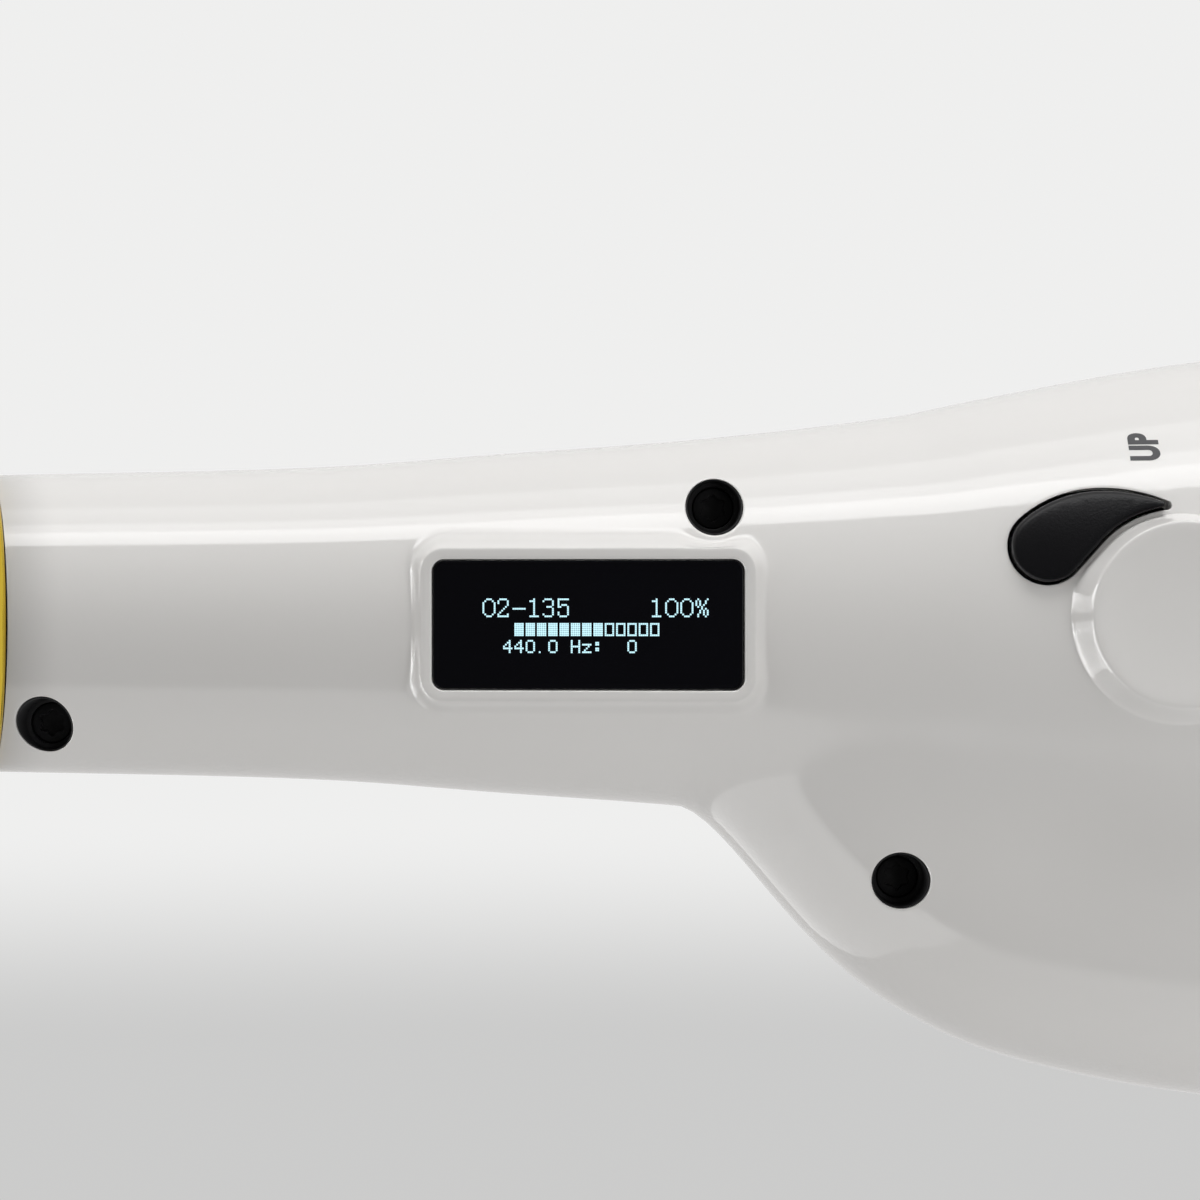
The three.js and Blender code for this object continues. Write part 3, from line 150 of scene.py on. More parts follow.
def studio_world():
    """Pale surroundings. Glossy surfaces see a darker side where the photographer stands."""
    world = bpy.data.worlds.new("studio")
    bpy.context.scene.world = world
    world.use_nodes = True
    tree = world.node_tree
    tree.nodes.clear()
    path = add_node(tree, "LightPath").outputs
    place = add_node(tree, "TexCoord").outputs["Generated"]
    x, y, _ = add_node(tree, "SeparateXYZ", {0: place}).outputs
    beyond = math_node(tree, "SUBTRACT", y, eased(tree, x, -0.3, 0.3, -0.70, -0.42))
    window = math_node(tree, "ADD", eased(tree, beyond, 0.0, 0.10, 0.04, 1.05),
                       eased(tree, beyond, 0.5, 1.5, 0.0, -0.3))
    # Camera rays see the pale backdrop with painted shade, darker towards one side.
    ambient, mirrored, seen = (
        add_node(tree, "Background", {"Color": (*colour, 1), "Strength": strength}).outputs[0]
        for colour, strength in (((1.0, 0.99, 0.975), 0.205), ((1.0, 0.99, 0.98), window),
                                 ((1.0, 1.0, 0.994), eased(tree, x, -0.135, -0.068, 0.60, 0.863))))
    glossy = math_node(tree, "MAXIMUM", path["Is Glossy Ray"], path["Is Transmission Ray"])
    for_gloss = add_node(tree, "MixShader", {0: glossy, 1: ambient, 2: mirrored}).outputs[0]
    for_camera = add_node(tree, "MixShader", {0: path["Is Camera Ray"], 1: for_gloss, 2: seen})
    add_node(tree, "OutputWorld", {0: for_camera.outputs[0]})


studio_world()

# Materials


def moulded_surface():
    """Faint unevenness of moulded or polished parts: roughness that varies and a soft bump."""
    group = bpy.data.node_groups.new("moulded_surface", "ShaderNodeTree")
    for label, value in (("Scale", 60.0), ("Roughness", 0.1), ("Spread", 0.03), ("Bump", 0.02),
                         ("Grain Scale", 4000.0), ("Grain", 0.0)):
        socket = group.interface.new_socket(label, in_out="INPUT", socket_type="NodeSocketFloat")
        socket.default_value = value
    for label, kind in (("Roughness", "Float"), ("Normal", "Vector"), ("Shade", "Float")):
        group.interface.new_socket(label, in_out="OUTPUT", socket_type=f"NodeSocket{kind}")
    given = group.nodes.new("NodeGroupInput").outputs
    end = group.nodes.new("NodeGroupOutput")
    place = add_node(group, "TexCoord").outputs["Object"]
    broad, grain = (
        add_node(group, "TexNoise", {"Vector": place, "Scale": scale, "Detail": detail}).outputs["Fac"]
        for scale, detail in ((given["Scale"], 3.0), (given["Grain Scale"], 2.0)))
    centred = math_node(group, "SUBTRACT", broad, 0.5)
    spread = math_node(group, "MULTIPLY_ADD", centred, given["Spread"], given["Roughness"])
    soft = add_node(group, "Bump", {"Distance": 0.001, "Strength": given["Bump"], "Height": broad})
    fine = add_node(group, "Bump", {"Distance": 0.00005, "Strength": given["Grain"], "Height": grain,
                                    "Normal": soft.outputs[0]})
    for label, socket in (("Roughness", spread), ("Normal", fine.outputs[0]), ("Shade", broad)):
        group.links.new(socket, end.inputs[label])
    return group


MOULDED = moulded_surface()


def material(name, colour, other=None, metallic=0.0, specular=0.5, **effect):
    """Principled material. Its colour drifts a little to the other colour, and its roughness and
    bump come from the moulded surface."""
    made = bpy.data.materials.new(name)
    made.use_nodes = True
    tree = made.node_tree
    shader = tree.nodes["Principled BSDF"]
    shader.inputs["Metallic"].default_value = metallic
    shader.inputs["Specular IOR Level"].default_value = specular
    surface = add_node(tree, "Group", node_tree=MOULDED)
    for label, value in effect.items():
        surface.inputs[label.replace("_", " ").title()].default_value = value
    blend = add_node(tree, "Mix", data_type="RGBA")
    blend.inputs["A"].default_value = (*colour, 1)
    blend.inputs["B"].default_value = (*(other or colour), 1)
    tree.links.new(surface.outputs["Shade"], blend.inputs["Factor"])
    tree.links.new(blend.outputs["Result"], shader.inputs["Base Color"])
    tree.links.new(surface.outputs["Roughness"], shader.inputs["Roughness"])
    tree.links.new(surface.outputs["Normal"], shader.inputs["Normal"])
    return made


def white(name):
    return material(name, (0.80, 0.785, 0.765), (0.82, 0.81, 0.795),
                    roughness=0.07, spread=0.03, bump=0.012, scale=45.0)


white_gloss = white("white_gloss")


def painted_shade_below_ring(made):
    """Painted shade: the casing's colour darkens just below the neck ring, whose plane is tilted."""
    tree = made.node_tree
    shader = tree.nodes["Principled BSDF"]
    colour = shader.inputs["Base Color"].links[0].from_socket
    place = add_node(tree, "TexCoord").outputs["Object"]
    slope = math.tan(math.radians(NECK_TILT))
    below = add_node(tree, "VectorMath", {0: place, 1: (0.0, slope, -1.0)}, operation="DOT_PRODUCT")
    ring_level = (STRAP + NECK_LIFT + TOP_REACH) * MM + AXIS_Y * MM * -slope
    shade = eased(tree, below.outputs["Value"], -ring_level, 0.0055 - ring_level, 0.78, 1.0)
    darker = add_node(tree, "VectorMath", {0: colour, "Scale": shade}, operation="SCALE")
    tree.links.new(darker.outputs["Vector"], shader.inputs["Base Color"])
    return made


satin_black = material(
    "satin_black", (0.006, 0.006, 0.007), (0.010, 0.010, 0.011),
    roughness=0.26, spread=0.10, bump=0.02, grain=0.3, grain_scale=5000.0, specular=0.16,
)
display_glass = material(
    "display_glass", (0.002, 0.002, 0.003), (0.003, 0.003, 0.005),
    roughness=0.04, spread=0.02, bump=0.0,
)
bush_black = material(
    "bush_black", (0.013, 0.013, 0.014), (0.019, 0.019, 0.020),
    specular=0.3, roughness=0.6, spread=0.15, bump=0.05, grain=0.4,
)
screw_steel = material(
    "screw_steel", (0.010, 0.010, 0.011), (0.018, 0.018, 0.019),
    specular=0.5, roughness=0.42, spread=0.15, bump=0.05, grain=0.3,
)
gold_plate = material(
    "gold_plate", (0.80, 0.56, 0.045), (0.85, 0.62, 0.08), metallic=1.0,
    roughness=0.08, spread=0.06, bump=0.02,
)
label_ink = material(
    "label_ink", (0.025, 0.025, 0.028), (0.035, 0.035, 0.038),
    roughness=0.5, spread=0.1, bump=0.02,
)
nickel = material(
    "nickel", (0.62, 0.62, 0.63), (0.70, 0.70, 0.71), metallic=1.0,
    roughness=0.22, spread=0.10, bump=0.03,
)
cork_brown = material(
    "cork_brown", (0.42, 0.25, 0.13), (0.62, 0.42, 0.24),
    roughness=0.85, spread=0.1, bump=0.6, scale=700.0, grain=0.8,
)
polished_black = material(
    "polished_black", (0.008, 0.008, 0.009), (0.012, 0.012, 0.013),
    roughness=0.10, spread=0.05, bump=0.01, specular=0.25,
)
reed_satin = material(
    "reed_satin", (0.020, 0.020, 0.021), (0.035, 0.035, 0.036),
    roughness=0.4, spread=0.1, bump=0.05,
)
board_green = material(
    "board_green", (0.02, 0.12, 0.06), (0.03, 0.16, 0.08),
    roughness=0.4, spread=0.1, bump=0.05, scale=300.0,
)
hose_grey = material(
    "hose_grey", (0.16, 0.16, 0.16), (0.22, 0.22, 0.22),
    roughness=0.6, spread=0.1, bump=0.05,
)
cell_wrap = material(
    "cell_wrap", (0.06, 0.15, 0.36), (0.08, 0.2, 0.42),
    roughness=0.3, spread=0.1, bump=0.05,
)


def glowing(name, colour, strength):
    made = bpy.data.materials.new(name)
    made.use_nodes = True
    shader = made.node_tree.nodes["Principled BSDF"]
    shader.inputs["Base Color"].default_value = (0.02, 0.03, 0.035, 1)
    shader.inputs["Emission Color"].default_value = (*colour, 1)
    shader.inputs["Emission Strength"].default_value = strength
    shader.inputs["Roughness"].default_value = 0.4
    return made


lit_dot = glowing("lit_dot", (0.56, 0.88, 0.97), 1.2)

# Form of the body, in millimetres

BODY_LENGTH = 470.0
TOP_RADIUS = 14.6
FOOT_RADIUS = 31.0
WALL = 2.2
FIT = 0.3
SEAM = 3.0
NECK_TILT = 17.0
NECK_LIFT = 3.7
TOP_REACH = 0.45
STRAP = 0.3936 * BODY_LENGTH
SCREEN = 0.1164 * BODY_LENGTH
THUMB = 0.2314 * BODY_LENGTH
THUMB_SIDE = 1.0

PROFILE = np.array([
    [-0.05, -0.02], [0, 0], [0.06, 0.043], [0.098, 0.122], [0.138, 0.207], [0.179, 0.341],
    [0.198, 0.45], [0.238, 0.652], [0.287, 0.787], [0.34, 0.854], [0.426, 0.878],
    [0.638, 0.878], [0.851, 0.939], [1, 1], [1.05, 1],
])
# Height, angle, spread, share where it starts, share over which it rises, shares where it falls.
SWELLINGS = [
    (20.5, -95.0, 40.0, 0.1351, 0.0306, (0.323, 0.455)),
    (4.0, -135.0, 32.0, 0.404, 0.015, (0.511, 0.557)),
    (4.0, 110.0, 24.0, 0.455, 0.015, (0.604, 0.651)),
]

foot_low, foot_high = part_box("foot_ring")
AXIS_Y = (foot_low.y + foot_high.y) / 2 / MM


def smoothstep(low, high, x):
    t = np.clip((x - low) / (high - low), 0, 1)
    return t * t * (3 - 2 * t)


def radius_at(station):
    share = np.asarray(station, float) / BODY_LENGTH
    row = np.clip(np.searchsorted(PROFILE[:, 0], share, side="right") - 1, 1, len(PROFILE) - 3)
    before, low, high, after = (PROFILE[row + step] for step in (-1, 0, 1, 2))
    width = high[..., 0] - low[..., 0]
    t = (share - low[..., 0]) / width
    slope_low = (high[..., 1] - before[..., 1]) / (high[..., 0] - before[..., 0]) * width
    slope_high = (after[..., 1] - low[..., 1]) / (after[..., 0] - low[..., 0]) * width
    cubic = ((2 * t**3 - 3 * t**2 + 1) * low[..., 1] + (t**3 - 2 * t**2 + t) * slope_low
             + (3 * t**2 - 2 * t**3) * high[..., 1] + (t**3 - t**2) * slope_high)
    return TOP_RADIUS + (FOOT_RADIUS - TOP_RADIUS) * cubic


def reach_at(station, angle):
    """Distance of the skin from the axis. Angles start at the rear and grow to the right."""
    share = np.asarray(station, float) / BODY_LENGTH
    reach = radius_at(station)
    for height, centre, spread, start, rise, fall in SWELLINGS:
        along = 1 - np.exp(-(np.maximum((share - start) / rise, 0) ** 1.6))
        along = along * (1 - smoothstep(*fall, share))
        away = np.mod(np.asarray(angle, float) - centre + 180, 360) - 180
        reach = reach + height * along * np.exp(-(np.abs(away / spread) ** 3))
    return reach


def skin(station, angle, grow=0.0):
    """Points of the skin in millimetres from the body's axis."""
    turn = np.radians(angle)
    reach = reach_at(station, angle) + grow
    return np.stack([np.sin(turn) * reach, -np.cos(turn) * reach, STRAP - station + 0 * turn], -1)


def station_angle(points):
    angle = np.degrees(np.arctan2(points[:, 0], -points[:, 1]))
    return STRAP - points[:, 2], angle


def frame_of(right, up, out, place):
    return np.column_stack([right, up, out, place])


def skin_frame(station, angle):
    """Right, up, outward normal and place of a spot on the skin."""
    spot = lambda down, turn: skin(np.float64(station + down), np.float64(angle + turn))
    out = np.cross(spot(0, 1) - spot(0, -1), spot(-1, 0) - spot(1, 0))
    out /= np.linalg.norm(out)
    up = np.array([0, 0, 1.0]) - out[2] * out
    up /= np.linalg.norm(up)
    return frame_of(np.cross(up, out), up, out, spot(0, 0))


def through_frame(station, side=0.0):
    """Frame on the body's axis that looks at the player."""
    return frame_of([1, 0, 0], [0, 0, 1], [0, -1, 0], [side, 0, STRAP - station])


def in_frame(spot, points, height):
    """Points of a frame's plane at heights above it."""
    points = np.asarray(points, float)
    height = np.broadcast_to(np.asarray(height, float), (len(points),))
    return spot[:, 3] + points[:, :1] * spot[:, 0] + points[:, 1:2] * spot[:, 1] \
        + height[:, None] * spot[:, 2]


def skin_height(spot, points):
    """Height above a frame's plane at which a line down the frame first meets the skin."""
    points = np.asarray(points, float)
    through = np.hypot(spot[0, 3], spot[1, 3]) < 1e-6 or abs(spot[1, 2] + 1) < 1e-9
    levels = np.linspace(44, -4, 33) if through else np.linspace(8, -16, 25)

    def above(height):
        here = in_frame(spot, points, height)
        return np.hypot(here[:, 0], here[:, 1]) > reach_at(*station_angle(here))

    high = np.full(len(points), levels[0])
    low = np.full(len(points), levels[-1])
    going = np.ones(len(points), bool)
    for before, level in zip(levels, levels[1:]):
        met = going & ~above(np.full(len(points), level))
        high[met], low[met] = before, level
        going &= ~met
    for _ in range(18):
        middle = (high + low) / 2
        free = above(middle)
        high, low = np.where(free, middle, high), np.where(free, low, middle)
    return (high + low) / 2


# Outlines, in millimetres


def arc(centre, radius, start, end, steps):
    turn = np.radians(np.linspace(start, end, steps + 1))
    return np.stack([centre[0] + radius * np.cos(turn), centre[1] + radius * np.sin(turn)], -1)


def round_outline(radius, sides=64):
    def outline(grow=0.0):
        return arc((0, 0), radius + grow, 0, 360, sides)[:-1]
    return outline


def tile_outline(width, length, corner, steps=7, along=0):
    """Rounded rectangle, width along x. Straight sides are divided into steps when asked."""
    def outline(grow=0.0):
        bend = max(corner + grow, corner / 6)
        points = []
        for right, up, start in ((1, 1, 0), (-1, 1, 90), (-1, -1, 180), (1, -1, 270)):
            centre = (right * (width / 2 + grow - bend), up * (length / 2 + grow - bend))
            points.append(arc(centre, bend, start, start + 90, steps))
        if along:
            filled = []
            for quarter, piece in enumerate(points):
                after = points[(quarter + 1) % 4][0]
                sides = along if quarter % 2 else along // 3
                between = [piece[-1] + (after - piece[-1]) * k / sides for k in range(1, sides)]
                filled.append(np.vstack([piece, *between]))
            points = filled
        return np.vstack(points)
    return outline


def drop_outline(length, head_radius, tail_radius, lean=0.0):
    def outline(grow=0.0):
        run = length - head_radius - tail_radius
        slope = math.degrees(math.asin((head_radius - tail_radius) / run))
        head = arc((0, length / 2 - head_radius), head_radius + grow, -slope, 180 + slope, 20)
        tail = arc((0, tail_radius - length / 2), tail_radius + grow, 180 + slope, 360 - slope, 16)
        points = np.vstack([head, tail])
        turn = math.radians(lean)
        return points @ np.array([[math.cos(turn), math.sin(turn)], [-math.sin(turn), math.cos(turn)]])
    return outline


OCTAVE_HEAD = np.array([6.15, 12.1])
OCTAVE_HEAD_RADIUS = 3.2
OCTAVE_REACH = 9.9
OCTAVE_BACK = np.array([0.26, 6.9])
OCTAVE_TAIL_ROUND = 0.3
OCTAVE_TAIL_STRAIGHTER = 3.0


# Side, and the gap between the tail and the middle, of each key and of its opening
OCTAVE_KEYS = {"octave_up_key": (1, 1.5, 1.05), "octave_down_key": (-1, 3.1, 2.7)}


def octave_outline(side, gap):
    """Comma round the thumb rest, from its centre, x to the player's right and y up the body. The
    gap is between the tail and the middle. Side -1 is the mirrored one below."""
    def outline(grow=0.0):
        reach = OCTAVE_REACH - grow
        back = np.linalg.norm(OCTAVE_HEAD - OCTAVE_BACK) + OCTAVE_HEAD_RADIUS + grow
        tail = gap - grow + OCTAVE_TAIL_ROUND
        flatter = back + OCTAVE_TAIL_STRAIGHTER
        outside = math.degrees(math.asin((tail - OCTAVE_BACK[1]) / flatter))
        inside = math.degrees(math.asin(tail / reach))
        crown = math.degrees(math.atan2(*(OCTAVE_HEAD - OCTAVE_BACK)[::-1]))
        nearest = OCTAVE_HEAD_RADIUS + OCTAVE_REACH
        inner = math.degrees(math.atan2(*OCTAVE_HEAD[::-1])
                             - math.acos(nearest / np.linalg.norm(OCTAVE_HEAD)))
        spine = np.vstack([
            arc(OCTAVE_BACK - [OCTAVE_TAIL_STRAIGHTER, 0], flatter, outside, 0, 20),
            arc(OCTAVE_BACK, back, 0, crown, 24)[1:],
        ])
        head = arc(OCTAVE_HEAD, OCTAVE_HEAD_RADIUS + grow, crown, 180 + inner, 30)[1:]
        belly = arc((0, 0), reach, inner, inside, 24)
        bridge = head[-1] + (belly[0] - head[-1]) * np.linspace(0, 1, 9)[1:-1, None]
        turn = np.linspace(math.pi, 2 * math.pi, 10)[1:-1, None]
        middle, half = (spine[0] + belly[-1]) / 2, (spine[0] - belly[-1]) / 2
        tip = middle + half * np.cos(turn) + np.array([0, OCTAVE_TAIL_ROUND]) * np.sin(turn)
        points = np.vstack([spine, head, bridge, belly, tip])
        return points if side > 0 else (points * [1, -1])[::-1]
    return outline


# Meshes from points and faces


def to_frame(points):
    """Millimetres from the body's axis to metres in the row frame."""
    return (np.asarray(points) + [0, AXIS_Y, 0]) * MM


def new_piece(name, points, faces, finish, smooth=True, angle=35):
    mesh = bpy.data.meshes.new(name)
    mesh.from_pydata([tuple(p) for p in points], [], [tuple(int(v) for v in f) for f in faces])
    mesh.validate()
    piece = bpy.data.objects.new(name, mesh)
    bpy.context.scene.collection.objects.link(piece)
    mesh.materials.append(finish)
    if smooth:
        make_smooth(piece, angle)
    return piece


def select_only(*pieces):
    """Selects the pieces and makes the first one active."""
    bpy.ops.object.select_all(action="DESELECT")
    for piece in pieces:
        piece.select_set(True)
    bpy.context.view_layer.objects.active = pieces[0]


def make_smooth(piece, angle=35):
    select_only(piece)
    bpy.ops.object.shade_smooth_by_angle(angle=math.radians(angle))
    piece.select_set(False)


def belongs(piece, body, node=None):
    """Says which body a piece rides and hides the CAD node it stands for."""
    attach(piece, body)
    if node:
        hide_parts(node)
    return piece


class Surface:
    """Points and faces that grow feature by feature."""

    def __init__(self):
        self.points = []
        self.faces = []
        self.count = 0

    def add(self, points):
        start = self.count
        self.points.append(np.asarray(points, float))
        self.count += len(points)
        return np.arange(start, self.count)

    def strip(self, outer, inner):
        """Closed band of faces between two loops of the same length."""
        after = np.roll(np.arange(len(outer)), -1)
        for i, j in enumerate(after):
            self.faces.append((outer[i], outer[j], inner[j], inner[i]))

    def fan(self, loop, centre):
        for i in range(len(loop)):
            self.faces.append((loop[i], loop[(i + 1) % len(loop)], centre))

    def stack(self, spot, rings, last=None):
        """Bands through rings of plane points and heights, from the last loop or a closed foot."""
        for points, height in rings:
            ring = self.add(in_frame(spot, points, height))
            if last is not None:
                self.strip(last, ring)
            last = ring
        return last

    def all_points(self):
        return np.vstack(self.points)


def inside(polygon, points):
    """Which points lie inside a polygon."""
    x, y = points[:, 0][:, None], points[:, 1][:, None]
    ax, ay = polygon[:, 0], polygon[:, 1]
    bx, by = np.roll(ax, -1), np.roll(ay, -1)
    crosses = ((ay > y) != (by > y)) & (x < (bx - ax) * (y - ay) / (by - ay + 1e-300) + ax)
    return crosses.sum(1) % 2 == 1


def laid_out(plan, edges):
    """Triangles over a plan, all turned the same way round, and twice their areas."""
    made = delaunay_2d_cdt([Vector(v) for v in plan], edges, [], 0, 1e-7, True)
    source = np.array([group[0] for group in made[3]])
    triangles = source[np.array(made[2])]
    second, third = plan[triangles[:, 1:]].transpose(1, 0, 2) - plan[triangles[:, 0]]
    turn = second[:, 0] * third[:, 1] - second[:, 1] * third[:, 0]
    return np.where(turn[:, None] > 0, triangles, triangles[:, ::-1]), np.abs(turn)


def covering(plan, count):
    """Triangles over the area within the first points of a plan."""
    triangles, _ = laid_out(plan, [(k, (k + 1) % count) for k in range(count)])
    return triangles[inside(plan[:count], plan[triangles].mean(1))]


def distance_to(polygon, points):
    """Distance of each point from a polygon's border."""
    a, b = polygon, np.roll(polygon, -1, 0)
    edge = b - a
    length = (edge**2).sum(1)
    best = np.full(len(points), 1e9)
    for k in range(len(a)):
        t = np.clip(((points - a[k]) @ edge[k]) / max(length[k], 1e-12), 0, 1)
        best = np.minimum(best, np.hypot(*(points - a[k] - t[:, None] * edge[k]).T))
    return best


# Casings


def seam_angle(station, side, level):
    """Angle from the rear at which the skin meets the seam, on the left (-1) or right (1)."""
    station = np.asarray(station, float)
    low, high = np.full(station.shape, 60.0), np.full(station.shape, 140.0)
    for _ in range(30):
        middle = (low + high) / 2
        below = -np.cos(np.radians(middle)) * reach_at(station, side * middle) < level
        low, high = np.where(below, middle, low), np.where(below, high, middle)
    return low


class CasingSheet:
    """One casing's skin laid flat: p runs down the body and q from seam to seam."""

    TOP = 20.0
    STRETCH = 58.0

    def __init__(self, rear):
        self.rear = rear
        table = np.linspace(-2, BODY_LENGTH, 945)
        level = SEAM - FIT / 2 if rear else SEAM + FIT / 2
        self.table = table
        self.right = seam_angle(table, 1, level)
        self.left = seam_angle(table, -1, level)

    def edges(self, p):
        right = np.interp(p, self.table, self.right)
        left = np.interp(p, self.table, self.left)
        return (-left, right) if self.rear else (right, 360 - left)

    def top(self, angle):
        lift = math.tan(math.radians(NECK_TILT)) * TOP_RADIUS * np.cos(np.radians(angle))
        return lift - NECK_LIFT - TOP_REACH

    def spots(self, p, q):
        """Stations and angles of flat points."""
        start, end = self.edges(p)
        angle = start + q / self.STRETCH * (end - start)
        top = self.top(angle)
        station = np.where(p < self.TOP, top + p * (self.TOP - top) / self.TOP, p)
        return station, angle

    def flat(self, station, angle):
        angle = angle if self.rear else np.mod(angle, 360)
        top = self.top(angle)
        p = np.where(station < self.TOP, self.TOP * (station - top) / (self.TOP - top), station)
        start, end = self.edges(p)
        return np.stack([p, self.STRETCH * (angle - start) / (end - start)], -1)


def lip_rings(outline, spot, radius, steps=3):
    """Rings of a rounded edge that turns down from the skin into an opening."""
    rings = []
    for k in range(1, steps + 1):
        turn = math.pi / 2 * k / steps
        points = outline(radius * (1 - math.sin(turn)))
        rings.append((points, skin_height(spot, points) - radius * (1 - math.cos(turn))))
    return rings


def key_opening(station, angle, outline, lip=0.2):
    """Opening of the casing for a key or button."""
    spot = skin_frame(station, angle)
    hole = lambda grow=0.0: outline(FIT + grow)
    outer = hole(lip)
    rings = [(outer, skin_height(spot, outer)), *lip_rings(hole, spot, lip)]
    bottom = hole()
    rings.append((bottom, skin_height(spot, bottom) - WALL))
    return spot, rings


def octave_opening(outline):
    spot = through_frame(THUMB, THUMB_SIDE)
    lip = 0.06
    hole = lambda grow=0.0: outline(FIT + grow)
    edge = hole(lip)
    wide = (hole(lip + 1.1) - edge) * (0.1 + 0.9 * smoothstep(10.3, 11.6, np.hypot(*edge.T)))[:, None]
    rings = []
    for share in (1, 0.55, 0.2, 0):
        points = edge + wide * share
        rings.append((points, skin_height(spot, points)))
    rings += lip_rings(hole, spot, lip, 2)
    bottom = hole()
    rings.append((bottom, skin_height(spot, bottom) - WALL - 0.4))
    return spot, rings


WELL_RADIUS = 2.7
WELL_DEPTH = 5.4
WELL_WALLS = [0.3, 0.24, 0.3, 1.2, 1.2, 1.2]
WELL_FLOOR = 0.8
SCREWS = [(0.0067, -0.647), (0.1415, 0.607), (0.1787, -1.19), (0.4723, 0), (0.7128, 0), (0.9043, 0)]
SCREW_SPOTS = [(along * BODY_LENGTH, across * float(radius_at(along * BODY_LENGTH)))
               for along, across in SCREWS]


def rear_height(station, side=0.0):
    spot = through_frame(station, side)
    return float(skin_height(spot, np.zeros((1, 2)))[0])


def screw_well(station, side, wall):
    """Well with a floor that the screw's head sits on and a hole for its shank."""
    spot = through_frame(station, side)
    outline = round_outline(WELL_RADIUS, 56)
    lip = 0.16
    seat = rear_height(station, side) - WELL_DEPTH
    outer = outline(wall)
    rim = outline(lip)
    shank = 1.55 - WELL_RADIUS
    rings = [
        (outer, skin_height(spot, outer)),
        (rim, skin_height(spot, rim)),
        *lip_rings(outline, spot, lip),
        (outline(), skin_height(spot, outline()) - 0.7),
        (outline(), seat),
        (outline(shank), seat),
        (outline(shank), seat - WELL_FLOOR),
        (outer, seat - WELL_FLOOR),
    ]
    return spot, rings


BEZEL_HEIGHT = 1.0
LENS_WIDTH = 11.9
LENS_LENGTH = 28.8
LENS_TOP = 0.75


def bezel_feature():
    """Raised frame of the display: a flat top blended into the skin, and the lens's pocket."""
    spot = skin_frame(SCREEN, 0)
    outline = tile_outline(LENS_WIDTH + 2.2, LENS_LENGTH + 2.2, 2.1, 9, 42)
    pocket = tile_outline(LENS_WIDTH, LENS_LENGTH, 1.0, 9, 42)
    edge, grown = outline(), outline(1.0)
    drop = BEZEL_HEIGHT - skin_height(spot, edge)
    station, side = SCREW_SPOTS[1]
    mouth = through_frame(station, side)[:, 3] - [0, rear_height(station, side), 0]
    well = (mouth - spot[:, 3]) @ spot[:, :2]
    room = np.hypot(*(edge - well).T) - WELL_RADIUS - 0.42
    reach = np.minimum(0.85 + 0.32 * drop, room / 1.3)[:, None]
    rings = []
    for share in (1.3, 1.0, 0.86, 0.74, 0.63, 0.53, 0.44, 0.35, 0.27, 0.2, 0.14, 0.09, 0.05, 0.02, 0):
        points = edge + (grown - edge) * reach * share
        fall = skin_height(spot, points)
        blend = (1 - min(share, 1) ** 1.5) ** 2.1
        rings.append((points, fall + (BEZEL_HEIGHT - fall) * blend))
    lip = 0.16
    rings.append((outline(-0.3), BEZEL_HEIGHT))
    rings.append((pocket(0.14 + lip), BEZEL_HEIGHT))
    for turn in (30, 60, 90):
        shift = lip * (1 - math.sin(math.radians(turn)))
        sink = lip * (1 - math.cos(math.radians(turn)))
        rings.append((pocket(0.14 + shift), BEZEL_HEIGHT - sink))
    rings.append((pocket(0.14), -0.75))
    rings.append((pocket(-1.6), -0.75))
    rings.append((pocket(-1.6), -1.35))
    rings.append((outline(0.2), -1.35))
    rings.append((outline(0.2), -3.2))
    return spot, rings


THUMB_TOP = rear_height(THUMB) + 1.15


def thumb_feature():
    """Round thumb rest with a sloped flank, a rounded shoulder and a dished top."""
    spot = through_frame(THUMB, THUMB_SIDE)
    turn = np.degrees(np.arctan2(*arc((0, 0), 1, 0, 360, 120)[:-1, ::-1].T))
    beside_keys = 1 - 0.5 * smoothstep(-80, -46, -abs(turn))

    def circle(radius):
        slope = min(radius, 10.1)
        reach = np.where(slope > 8.3, 8.3 + (slope - 8.3) * beside_keys, slope)
        reach = reach + (radius - slope) * (0.06 + 0.94 * smoothstep(86, 104, abs(turn)))
        return arc((0, 0), 1, 0, 360, 120)[:-1] * reach[:, None]

    rings = []
    for radius in (11.4, 10.8, 10.4, 10.2, 10.1):
        base = skin_height(spot, circle(radius))
        rings.append((circle(radius), base))
    for radius, share in ((10.02, 0.02), (9.9, 0.07), (9.7, 0.18), (9.3, 0.45), (8.95, 0.7),
                          (8.75, 0.84), (8.62, 0.92)):
        rings.append((circle(radius), base + (THUMB_TOP - base) * share))
    for radius, sink in ((8.48, 0.07), (8.35, 0.03), (8.2, 0.008), (8.0, 0.0), (7.7, 0.02), (7.2, 0.08),
                         (6.4, 0.17), (5.4, 0.27), (4.2, 0.36), (2.8, 0.43), (1.4, 0.47)):
        rings.append((circle(radius), THUMB_TOP - sink))
    return spot, rings


